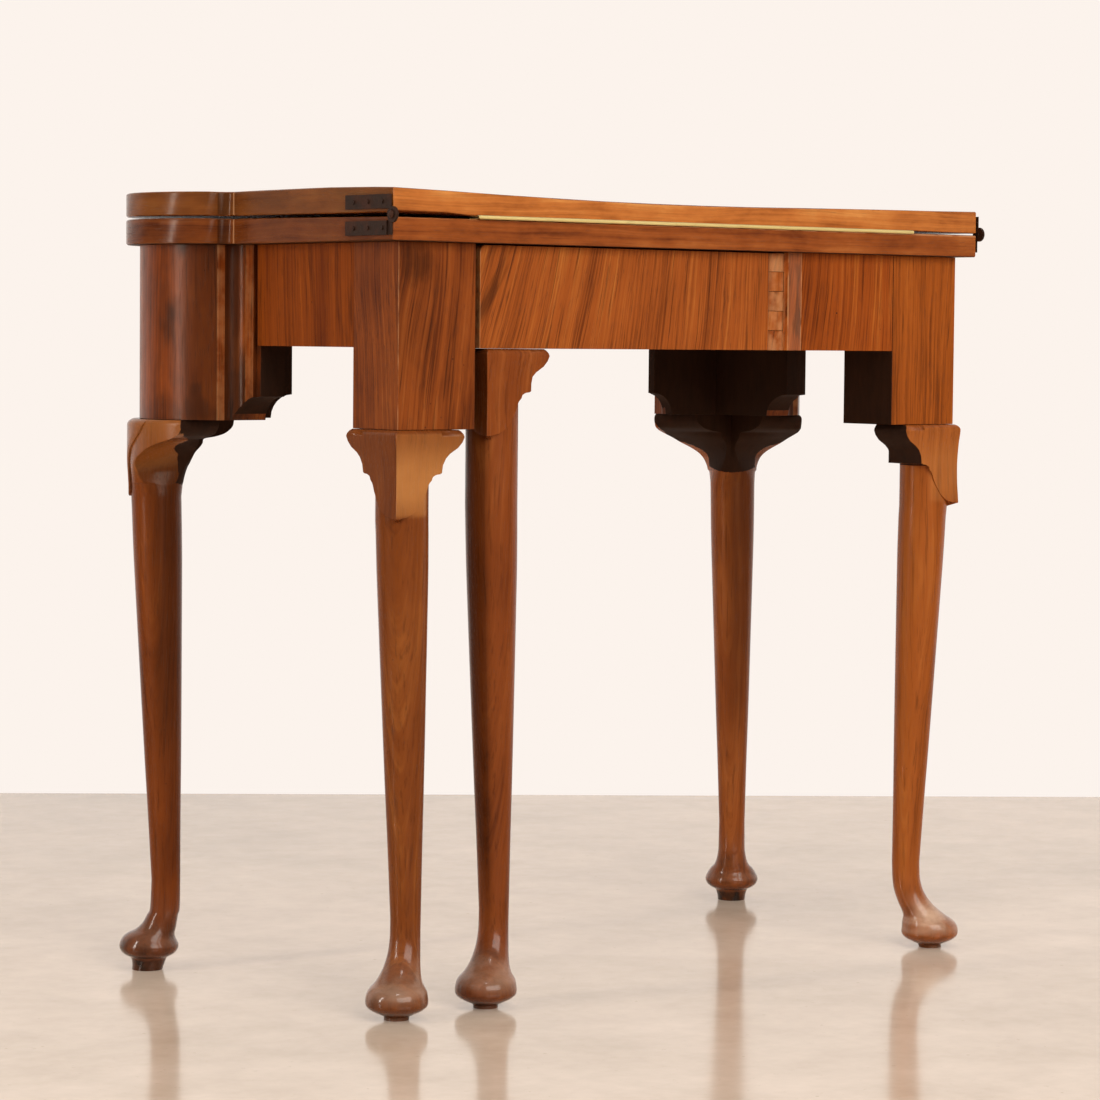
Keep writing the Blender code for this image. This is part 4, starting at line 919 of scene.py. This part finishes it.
def tongue_section(face, width):
    """The outline of the shaft with the square tongue that lies on its outer side."""
    edge = face - width
    first, last = arris(face)
    spread = math.pi / 4 - math.atan2(edge, face)
    points = first + [(face, max(edge, (face + edge) / 2)), (face, edge)]
    points += [(shaft_radius * math.cos(turn), shaft_radius * math.sin(turn))
               for turn in turns(spread)]
    return points + [(edge, face), (max(edge, (face + edge) / 2), face)] + last


def shaft_section(radius):
    """The round outline of a shaft, with as many points as the tongue's."""
    tip = math.radians(8.0)
    around = [math.pi / 4, math.pi / 4 - tip * 0.25, math.pi / 4 - tip * 0.5, math.pi / 4 - tip * 0.8]
    around += turns(tip)
    around += [math.pi / 4 + tip * 0.8, math.pi / 4 + tip * 0.5, math.pi / 4 + tip * 0.25]
    return [(radius * math.cos(turn), radius * math.sin(turn)) for turn in around]


def stand(section, spot, side, height):
    """Put a section at its spot and height, on the left or the right of the table."""
    return [(side * (spot[0] + x), spot[1] + y, height) for x, y in section]


def skin(name, rings, sharp=40.0):
    """Skin a stack of sections and close both ends."""
    work = bmesh.new()
    stack = [[work.verts.new(point) for point in ring] for ring in rings]
    for upper, lower in zip(stack, stack[1:]):
        for index in range(len(upper)):
            after = (index + 1) % len(upper)
            work.faces.new((upper[index], upper[after], lower[after], lower[index]))
    work.faces.new(stack[0])
    work.faces.new(stack[-1][::-1])
    bmesh.ops.recalc_face_normals(work, faces=work.faces)
    return eased_mesh(name, work, ease=0.0, sharp=sharp, clean=False)


def lower_leg(centre, drift, kick, side, section, below, turning):
    """Sections of the shaft, ankle and foot, from a height down to the floor."""
    rings = []
    length = shaft_top - ankle_height
    for share, swell in filled_in(shaft_swell, 4)[:-1]:
        radius = ankle_radius + (shaft_radius - ankle_radius) * swell
        spot = (centre[0] + drift[0] * (1 - share), centre[1] + drift[1] * (1 - share))
        height = ankle_height + length * share
        if height < below:
            rings.append(stand(section(radius), spot, side, height))
    for share, pad, out in filled_in(turning, 4):
        spot = (centre[0] + drift[0] + kick[0] * out, centre[1] + drift[1] + kick[1] * out)
        rings.append(stand(section(pad_radius * pad), spot, side, ankle_height * share))
    return rings


def square_kneed_leg(node, centre, side, top, material):
    """A leg with a square knee and a hanging tongue, from its top down to the floor."""
    rings = []
    for share, _ in smooth_face:
        drop = tongue_drop * share
        if drop < knee_drop - step_down:
            rings.append(stand(square_section(stands(drop)), centre, side, top - drop))
    rings.append(stand(square_section(stands(knee_drop)), centre, side, top - knee_drop))
    for share, width in filled_in(tongue_width, 4):
        drop = knee_drop + step_down + (tongue_drop - knee_drop) * share
        face = stands(drop)
        section = tongue_section(face, (face + knee_inner) * width)
        rings.append(stand(section, centre, side, top - drop))
    below = top - tongue_drop - 2 * step_down - knee_stands / 2
    rings.append(stand(shaft_section(shaft_radius), centre, side, below))
    rings += lower_leg(centre, (-0.0112, -0.0055), (0.0201, 0.0150), side, shaft_section,
                       below - 0.0006, back_foot_turning)
    fit(node + "_carved", skin(node + "_carved", rings), material, node)


def leg_walnut(name, light, mid, dark, seed, bare=None, foot=0.5, shade=None, sole=0.0085,
               knee=0.0, pad=1.0, front_knee_light=None):
    """Solid walnut with the grain down the leg, a pale painted sheen on the pad, and grimy beneath it.

    knee and pad are the shares of painted light on the back of a square knee and of painted sheen
    on the pad, and handled gives the painted light where the knee isn't square.
    """
    def grime_and_shade(wood, x, y, z):
        """Dirt low on the leg, a darker band at its sole, and any painted shade from shade."""
        cloud = wood.noise(x * 40.0, y * 40.0, z * 30.0 + seed, detail=4.0)
        low = z.rises(0.075, 0.030)
        share = (cloud.rises(0.40, 0.74) * 0.8 + 0.2) * low * foot + z.rises(sole, sole - 0.0025) * 0.4
        return share if shade is None else share.either(shade(wood, x, y, z))

    def painted_pad_sheen(wood, x, y, z):
        """A pale, grey painted sheen on the top of the pad."""
        nx, ny, nz = wood.facing()
        cloud = wood.noise(x * 26.0 + seed, y * 26.0, z * 40.0, detail=4.0, roughness=0.6)
        return z.rises(0.060, 0.036) * nz.rises(-0.25, 0.6) * (cloud.rises(0.26, 0.66) * 0.3 + 0.06) * pad

    def painted_back_knee_light(wood, x, y, z):
        """Painted light in gold on the back of a square knee and its tongue, strongest part way down."""
        nx, ny, nz = wood.facing()
        middle = (z - post_foot + tongue_drop * 0.6).size().rises(0.045, 0.005)
        above = z.rises(post_foot - tongue_drop - 0.002, post_foot - tongue_drop + 0.004)
        cloud = wood.noise(x * 45.0, y * 45.0, z * 45.0 + seed, detail=2.0) * 0.5 + 0.75
        return ny.rises(0.80, 0.95) * (middle * 0.7 + 0.3) * above * z.under(post_foot) * cloud * knee

    def thick_polish(wood, x, y, z):
        """The shine of the polish that has gathered on the foot."""
        return z.rises(0.085, 0.055) * 0.45

    return walnut(name, light, mid, dark, flow=lambda x, y, z: (z, x + z * 0.02, y), seed=seed,
                  bands=34.0, stripes=1.1, figure=0.4, gloss=0.22, specular=0.15, worm=0.3,
                  grain=0.55, bare=bare, painted_light=painted_back_knee_light if knee else front_knee_light, stain_and_shade=grime_and_shade,
                  pale_bloom_and_sheen=painted_pad_sheen, coat=thick_polish)


def knee_inside(side, level):
    """The bare sawn faces of a square knee and its ears that look in under the table."""
    def bare(wood, x, y, z):
        nx, ny, nz = wood.facing()
        return ny.under(-0.5).either((nx * side).under(-0.5)) * z.over(level - 0.041)
    return bare


def painted_side_shade(wood, x, y, z):
    """Painted shade on the side faces of the left knee, darker than its back."""
    nx, ny, nz = wood.facing()
    return nx.rises(0.75, 0.95) * z.over(post_foot - tongue_drop) * 0.08


def painted_fly_shadow(wood, x, y, z):
    """Painted shadow on the side of the fly leg that stands beside the post, all the way down."""
    nx, ny, nz = wood.facing()
    return ny.rises(0.80, 0.52) * z.rises(0.06, 0.16) * 0.45


corner_leg = (side_line - leg_inset, back_line - leg_inset)
fly_spot = (corner_leg[0] - 0.1, corner_leg[1])
# The knee shares below give painted light, and the pad shares a painted sheen.
left_leg = leg_walnut("left_back_leg_walnut", (168, 100, 46), (124, 63, 24), (76, 34, 12), 1.7,
                      bare=knee_inside(1, post_foot), shade=painted_side_shade, knee=0.52)
right_leg = leg_walnut("right_back_leg_walnut", (194, 118, 54), (158, 83, 32), (100, 46, 15), 3.4,
                       bare=knee_inside(-1, post_foot), knee=0.22, pad=2.8)
fly_leg = leg_walnut("fly_leg_walnut", (166, 94, 44), (130, 64, 25), (80, 34, 12), 5.1,
                     bare=knee_inside(0, rail_foot), shade=painted_fly_shadow)
square_kneed_leg("leg_back_left", corner_leg, 1, post_foot - glue_line, left_leg)
square_kneed_leg("leg_back_right", corner_leg, -1, post_foot - glue_line, right_leg)
square_kneed_leg("leg_fly", fly_spot, 1, rail_foot - glue_line, fly_leg)


# Ears: beside each square knee is a small bracket of the same wood, fretted to a curve and glued up
# tight to the leg and to the wood above.
for node, toward, material in (("ear_back_left", "+X", left_leg), ("ear_side_left", "+Y", left_leg),
                               ("ear_back_right", "-X", right_leg),
                               ("ear_side_right", "+Y", right_leg), ("ear_fly", "+X", fly_leg)):
    work = joined_copy(node)
    low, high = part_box(node)
    axis = "XYZ".index(toward[1])
    level = high[axis] if toward[0] == "+" else low[axis]
    glued = [vertex for vertex in work.verts if abs(vertex.co[axis] - level) < glue_line]
    for vertex in glued:
        vertex.co[axis] += 0.0005 if toward[0] == "+" else -0.0005
    outer = [edge for edge in work.edges
             if len(edge.link_faces) == 2 and edge.calc_face_angle() > math.radians(50.0)
             and not all(vertex in glued for vertex in edge.verts)]
    bmesh.ops.bevel(work, geom=outer, offset=0.0005, segments=2, profile=0.5, affect="EDGES",
                    clamp_overlap=True)
    fit(node + "_fretted", eased_mesh(node + "_fretted", work, ease=0.0, clean=False), material, node)


# Front legs: the knee swells to follow the turret above it, with a carved shield in front, and its
# inner side is a sawn block, painted nearly black. Below it the leg is as the back ones are.
lobe_centre = (0.3198, -0.12295)
front_offset = (0.0457, 0.0411)
front_leg = (lobe_centre[0] + front_offset[0], lobe_centre[1] - front_offset[1])
turret_hang = 0.0695
front_top = rail_foot - turret_hang - glue_line
front_drop, front_half, front_reach, front_plane = 0.0740, 0.0785, 0.0725, 0.0235
front_knee = ((0.0, 0.965, 1.0, 1.0, 0.0, 1.0), (0.015, 0.985, 1.0, 1.0, 0.0, 0.45),
              (0.05, 1.0, 0.995, 1.0, 0.0, 0.0), (0.10, 1.0, 0.98, 1.0, 0.0, 0.0),
              (0.15, 0.995, 0.93, 1.0, 0.0, 0.0), (0.20, 0.985, 0.84, 1.0, 0.0, 0.0),
              (0.235, 0.96, 0.70, 1.0, 0.0, 0.0), (0.26, 0.935, 0.53, 1.0, 0.0, 0.0),
              (0.31, 0.86, 0.51, 1.0, 0.0, 0.0), (0.36, 0.78, 0.48, 1.0, 0.02, 0.0),
              (0.43, 0.68, 0.41, 1.0, 0.05, 0.0), (0.50, 0.56, 0.38, 0.98, 0.10, 0.0),
              (0.58, 0.45, 0.36, 0.95, 0.20, 0.0), (0.66, 0.385, 0.34, 0.92, 0.35, 0.0),
              (0.76, 0.345, 0.33, 0.90, 0.58, 0.0), (0.82, 0.334, 0.33, 0.90, 0.72, 0.0),
              (0.84, 0.318, 0.33, 0.90, 0.80, 0.0), (0.88, 0.312, 0.33, 0.90, 0.85, 0.0),
              (1.0, 0.303, 0.33, 0.90, 1.0, 0.0))
front_quarter = 12
diagonal = math.sqrt(2.0)
swell_radius, swell_roll, swell_out = 0.0800, 0.0025, 0.0060
hub_out = swell_out - sum(front_offset) / diagonal
hub_across = (front_offset[1] - front_offset[0]) / diagonal


def knee_curve(row, turn):
    """One point of the front knee's outer curve: how far out along the diagonal, how far across."""
    _, width, _, _, roundness, roll = row
    across = front_half * width * math.sin(turn)
    bowed = hub_out + math.sqrt((swell_radius - swell_roll * roll) ** 2 - across ** 2)
    return (bowed * (1 - roundness) + shaft_radius * math.cos(turn) * roundness,
            across + hub_across * (1 - roundness))


def unturned(points):
    """Points along and across the diagonal, as X and Y."""
    return [((out + across) / diagonal, (across - out) / diagonal) for out, across in points]


def front_section(row):
    """The outline of a front knee: its swelling outer curve, and its ears and inner block."""
    step = math.pi / 2 / front_quarter
    front = [knee_curve(row, index * step) for index in range(-front_quarter, front_quarter + 1)]
    plane = front_plane * row[3]
    reach = max(front_reach * row[2], plane + step_down)
    ear = ((-plane - reach) / diagonal, (reach - plane) / diagonal)
    corner = (-2 * plane / diagonal, 0.0)
    stations = [front[-1], ear, corner, (ear[0], -ear[1]), front[0]]
    path = []
    for start, end in zip(stations, stations[1:]):
        for index in range(front_quarter // 2):
            share = (index + 1) / (front_quarter // 2)
            path.append((start[0] + (end[0] - start[0]) * share,
                         start[1] + (end[1] - start[1]) * share))
    path = path[:-1]
    for index, (out, across) in enumerate(path):
        turn = math.pi / 2 + (index + 1) * step
        path[index] = (out * (1 - row[4]) + shaft_radius * math.cos(turn) * row[4],
                       across * (1 - row[4]) + shaft_radius * math.sin(turn) * row[4])
    return unturned(front + path)


def round_section(radius):
    """The round outline of a front leg's shaft, with as many points as its knee's."""
    step = math.pi / 2 / front_quarter
    return unturned([(radius * math.cos((index - front_quarter) * step),
                      radius * math.sin((index - front_quarter) * step))
                     for index in range(4 * front_quarter)])


shield_half = ((0.0, 49.0, 0.4), (0.05, 47.5, 0.9), (0.12, 44.0, 1.0), (0.20, 40.0, 1.0),
               (0.36, 34.0, 1.0), (0.50, 32.0, 1.0), (0.62, 31.0, 1.0), (0.74, 29.5, 1.0),
               (0.84, 27.5, 1.0), (0.92, 24.0, 1.0), (0.965, 19.0, 1.0), (0.99, 12.0, 0.9),
               (1.0, 5.0, 0.7))


shield_thick, shield_sunk, shield_steps = 0.0026, 0.0012, 8


def shield_sections(side, centre):
    """The carved shield: a thin shell over the outer curve of the knee, ending in a blunt tip."""
    rings = []
    rows = filled_in(front_knee, 3)
    for place, half, thick in filled_in(shield_half, 2):
        row = tuple(read_off([(entry[0], entry[part]) for entry in rows], place)
                    for part in range(6))
        outer, inner = [], []
        for index in range(2 * shield_steps + 1):
            turn = math.radians(half) * (index / shield_steps - 1)
            out, across = knee_curve(row, turn)
            ahead_out, ahead_across = knee_curve(row, turn + 0.01)
            along = Vector((ahead_out - out, ahead_across - across)).normalized()
            away = Vector((along.y, -along.x))
            edge = min(1.0, 8 * (1 - abs(index / shield_steps - 1)) + 0.55)
            rise = shield_thick * thick * edge
            outer.append((out + away.x * rise, across + away.y * rise))
            inner.append((out - away.x * shield_sunk, across - away.y * shield_sunk))
        rings.append(stand(unturned(outer + inner[::-1]), centre, side,
                           front_top - 0.0006 - (front_drop - 0.0006) * place))
    return rings


def knee_block_inside(side):
    """The inner side of a front knee, painted nearly black down to a rounded tip, with a ragged edge
    by the ear.
    """
    def bare(wood, x, y, z):
        nx, ny, nz = wood.facing()
        inward = (ny - nx * side) * (1 / diagonal)
        right, back = x * side - front_leg[0], y - front_leg[1]
        drop = front_top - z
        ragged = wood.noise(x * 140.0, y * 140.0, z * 90.0, detail=4.0, roughness=0.7) - 0.5
        if side > 0:
            edge = ragged * 0.007 - 0.0235 - drop.rises(0.028, 0.016) * 0.0165
            turned = inward.rises(0.62, 0.74)
        else:
            edge = ragged * 0.007 + 0.002
            turned = inward.rises(0.44, 0.56)
        out = (right - back) * (1 / diagonal)
        low = (right + back) * (1 / diagonal)
        tip = (drop + (low * low) * 8.0 + ragged * 0.004).under(0.0625)
        block = turned * out.under(-0.018)
        return (edge - out).over(0.0).either(block) * tip
    return bare


def painted_knee_shade(side):
    """Painted shade in the hollow by the ear, and on the side of the leg under the table."""
    def stain_and_shade(wood, x, y, z):
        spot = (front_leg[0] - 0.004, front_leg[1] + 0.052)
        cloud = wood.noise(x * 120.0, y * 120.0, z * 120.0, detail=2.0)
        near = ((x * side - spot[0]) * 38.0) ** 2.0 + ((y - spot[1]) * 60.0) ** 2.0
        near = near + ((z - front_top + 0.040) * 55.0) ** 2.0 + (cloud - 0.5) * 0.8
        nx, ny, nz = wood.facing()
        return (near.rises(1.1, 0.5) * 0.9).either(ny.rises(0.25, 0.95) * z.rises(0.08, 0.30) * 0.5)
    return stain_and_shade


def painted_front_knee_light(wood, x, y, z):
    """Painted light in gold on the back of the left front knee, and more on its downward faces,
    which lie in shade.
    """
    nx, ny, nz = wood.facing()
    drop = front_top - z
    cloud = wood.noise(x * 45.0, y * 45.0, z * 45.0 + 8.0, detail=2.0) * 0.5 + 0.75
    toward_back = (nx + ny).rises(-0.2, 0.5)
    hollow = nz.rises(0.0, -0.60) * drop.rises(0.062, 0.045)
    return toward_back * (drop.rises(0.075, 0.0) * 0.20 + hollow * 0.12) * cloud


# Each front knee carries painted shade, and the left one painted light as well.
for side, hand in ((1, "left"), (-1, "right")):
    node = "leg_front_" + hand
    rings = [stand(front_section(row), front_leg, side, front_top - front_drop * row[0])
             for row in filled_in(front_knee, 3)]
    rings += lower_leg(front_leg, (-0.0048, 0.0113), (0.0112, -0.0120), side, round_section,
                       front_top - front_drop - 0.0006, front_foot_turning)
    tones = ((168, 92, 40), (124, 60, 21), (76, 33, 11)) if side > 0 else \
            ((192, 110, 52), (144, 74, 31), (92, 43, 17))
    finish = leg_walnut(node + "_walnut", *tones, 7.0 + side, bare=knee_block_inside(side), foot=0.8,
                        shade=painted_knee_shade(side), sole=0.0115, pad=0.35,
                        front_knee_light=painted_front_knee_light if side > 0 else None)
    fit(node + "_carved", skin(node + "_carved", rings, sharp=34.0), finish, node)
    shield = skin(node + "_shield", shield_sections(side, front_leg), sharp=50.0)
    shield.materials.append(finish)
    piece = bpy.data.objects.new(node + "_shield", shield)
    bpy.context.scene.collection.objects.link(piece)
    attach(piece, "frame")


# Inside: the inner back rail and the glue blocks are bare sawn boards, brown and rough with age,
# glued and nailed between the posts and under the top.
aged = walnut("aged_inside_wood", (96, 62, 42), (70, 44, 30), (40, 26, 18),
              flow=lambda x, y, z: (x, z, y), gloss=0.7, worm=1.0,
              bare=lambda wood, x, y, z: x * 0.0 + 0.85)
for node in frame["nodes"]:
    if node.startswith("glue_block") or node == "inner_back_rail":
        fit(node + "_sawn", planed(node, ease=0.0012), aged, node, slot="inside_wood")


# Hinge irons: black wrought straps let in over the ends of the leaves, rounded over by wear, each
# pair swinging on a domed rivet. A steel pin runs down through the fingers of the wooden hinge.
iron = Surface("wrought_iron", roughness=0.5, metallic=0.3, specular=0.2)
x, y, z = iron.place()
hammered = iron.noise(x * 210.0, y * 210.0, z * 210.0, detail=5.0, roughness=0.65)
rust = iron.noise(x * 60.0, y * 60.0, z * 60.0, detail=3.0).rises(0.44, 0.66)
skin_tone = iron.mixed(hammered, from_screen(24, 13, 8), from_screen(66, 42, 28))
iron.paint(iron.mixed(rust * 0.7, skin_tone, from_screen(70, 36, 20)),
           roughness=hammered * 0.3 + 0.36, height=hammered, depth=0.0004)
for node in frame["nodes"]:
    if node.startswith("iron_"):
        fit(node + "_strap", eased_mesh(node + "_strap", joined_copy(node), ease=0.0004),
            iron.material, node, slot="iron")
    elif node.startswith("rivet_") or node == "knuckle_pin":
        fit(node + "_turned", eased_mesh(node + "_turned", joined_copy(node), ease=0.0,
                                         sharp=50.0, clean=False), iron.material, node, slot="iron")


# Screws: three slotted steel screws hold each strap to the end of its leaf. Their heads have been
# filed nearly flush with the iron, and their slots all lie about the same way.
strap_face, strap_middle, pivot_y, pivot_z = 0.3611, 0.0115, 0.20555, 0.71255
first_screw, screw_pitch = 0.0142, 0.0212
screw_tree = bpy.data.node_groups.new("slotted_screws", "GeometryNodeTree")
for label, kind, value in (("Count", "NodeSocketInt", 3), ("Left Start", "NodeSocketVector", None),
                           ("Right Start", "NodeSocketVector", None),
                           ("Step", "NodeSocketVector", None),
                           ("Head Radius", "NodeSocketFloat", 0.0021),
                           ("Head Height", "NodeSocketFloat", 0.0010),
                           ("Slot Width", "NodeSocketFloat", 0.0006),
                           ("Finish", "NodeSocketMaterial", None)):
    socket = screw_tree.interface.new_socket(label, in_out="INPUT", socket_type=kind)
    if value is not None:
        socket.default_value = value
screw_tree.interface.new_socket("Screws", in_out="OUTPUT", socket_type="NodeSocketGeometry")


def screw_node(kind, settings=None, links=None):
    """Add a node to the screws' tree: its settings, then values or links for its sockets."""
    made = screw_tree.nodes.new(kind)
    for key, value in (settings or {}).items():
        setattr(made, key, value)
    for key, value in (links or {}).items():
        if isinstance(value, bpy.types.NodeSocket):
            screw_tree.links.new(value, made.inputs[key])
        else:
            made.inputs[key].default_value = value
    return made


given = screw_node("NodeGroupInput").outputs
head = screw_node("GeometryNodeMeshCylinder", links={"Vertices": 18, "Radius": given["Head Radius"],
                                                     "Depth": given["Head Height"]})
slot_size = screw_node("ShaderNodeCombineXYZ", links={0: given["Slot Width"], 1: 0.01,
                                                      2: given["Head Height"]})
slot_bar = screw_node("GeometryNodeMeshCube", links={"Size": slot_size.outputs[0]})
lift = screw_node("ShaderNodeCombineXYZ", links={2: given["Head Height"]})
raised = {}
for way, factor in (("out", 0.72), ("in", -0.72)):
    rise = screw_node("ShaderNodeVectorMath", {"operation": "SCALE"},
                      {0: lift.outputs[0], "Scale": factor})
    raised[way] = screw_node("GeometryNodeTransform", links={"Geometry": slot_bar.outputs[0],
                                                             "Translation": rise.outputs[0]})
slotted = screw_node("GeometryNodeMeshBoolean", {"operation": "DIFFERENCE"},
                     {"Mesh 1": head.outputs[0]})
screw_tree.links.new(raised["out"].outputs[0], slotted.inputs["Mesh 2"])
screw_tree.links.new(raised["in"].outputs[0], slotted.inputs["Mesh 2"])
turned = screw_node("GeometryNodeTransform", links={"Geometry": slotted.outputs[0],
                                                    "Rotation": (0.5, math.pi / 2, 0.0)})
rows = screw_node("GeometryNodeJoinGeometry")
for end in ("Left Start", "Right Start"):
    line = screw_node("GeometryNodeMeshLine", links={"Count": given["Count"],
                                                     "Start Location": given[end],
                                                     "Offset": given["Step"]})
    screw_tree.links.new(line.outputs[0], rows.inputs[0])
placed_heads = screw_node("GeometryNodeInstanceOnPoints", links={"Points": rows.outputs[0],
                                                                 "Instance": turned.outputs[0]})
real = screw_node("GeometryNodeRealizeInstances", links={0: placed_heads.outputs[0]})
coloured = screw_node("GeometryNodeSetMaterial", links={"Geometry": real.outputs[0],
                                                        "Material": given["Finish"]})
screw_node("NodeGroupOutput", links={0: coloured.outputs[0]})
for body, level in (("frame", -1), ("folding_leaf", 1)):
    seed_mesh = bpy.data.meshes.new("screws_" + body)
    screws = bpy.data.objects.new("screws_" + body, seed_mesh)
    bpy.context.scene.collection.objects.link(screws)
    making = screws.modifiers.new("slotted_screws", "NODES")
    making.node_group = screw_tree
    first_y = pivot_y - first_screw
    values = {"Left Start": (strap_face, first_y, pivot_z + level * strap_middle),
              "Right Start": (-strap_face, first_y, pivot_z + level * strap_middle),
              "Step": (0.0, -screw_pitch, 0.0), "Finish": iron.material}
    for item in screw_tree.interface.items_tree:
        if item.in_out == "INPUT" and item.name in values:
            making[item.identifier] = values[item.name]
    finished = worked_mesh(screws)
    screws.modifiers.clear()
    screws.data = finished
    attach(screws, body)


# Long hinge: two strips of rolled brass along the back edge, screwed into both leaves, dulled and
# scratched along their length.
brass = Surface("dull_brass", roughness=0.45, metallic=0.35, specular=0.4)
x, y, z = brass.place()
wear = brass.noise(x * 14.0, y * 300.0, z * 300.0, detail=4.0)
tarnish = brass.noise(x * 50.0, y * 50.0, z * 50.0, detail=4.0).rises(0.52, 0.78)
bright = brass.mixed(wear, from_screen(216, 190, 118), from_screen(242, 222, 154))
brass.paint(brass.mixed(tarnish * 0.28, bright, from_screen(140, 104, 52)),
            roughness=wear * 0.2 + 0.35, height=wear, depth=0.0001)
for node in ("piano_hinge_lower", "piano_hinge_upper"):
    fit(node + "_rolled", eased_mesh(node + "_rolled", joined_copy(node), ease=0.0, sharp=50.0,
                                     clean=False), brass.material, node, slot="brass")


# Baize: green wool cloth, glued down flat into the shallow recess of each playing face. Its nap has
# worn a little paler in clouds where the cards are played.
baize = Surface("green_baize", roughness=0.95, specular=0.15)
x, y, z = baize.place()
nap = baize.noise(x * 900.0, y * 900.0, z * 900.0, detail=3.0)
thread = baize.noise(x * 60.0, y * 1400.0, z, detail=1.0) + baize.noise(x * 1400.0, y * 60.0, z)
worn = baize.noise(x * 12.0, y * 12.0, z, detail=4.0)
baize.paint(baize.mixed((nap * 0.4 + worn * 0.45 + thread * 0.08).rises(0.3, 0.7),
                        from_screen(36, 74, 48), from_screen(62, 104, 70)),
            height=nap + thread * 0.5, depth=0.0003)
for node, body in (("lower_baize", "frame"), ("upper_baize", "folding_leaf")):
    cloth = joined_copy(node)
    mesh = bpy.data.meshes.new(node + "_cloth")
    cloth.to_mesh(mesh)
    cloth.free()
    mesh.materials.append(baize.material)
    sheet = bpy.data.objects.new(node + "_cloth", mesh)
    bpy.context.scene.collection.objects.link(sheet)
    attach(sheet, body)
    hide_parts(node)
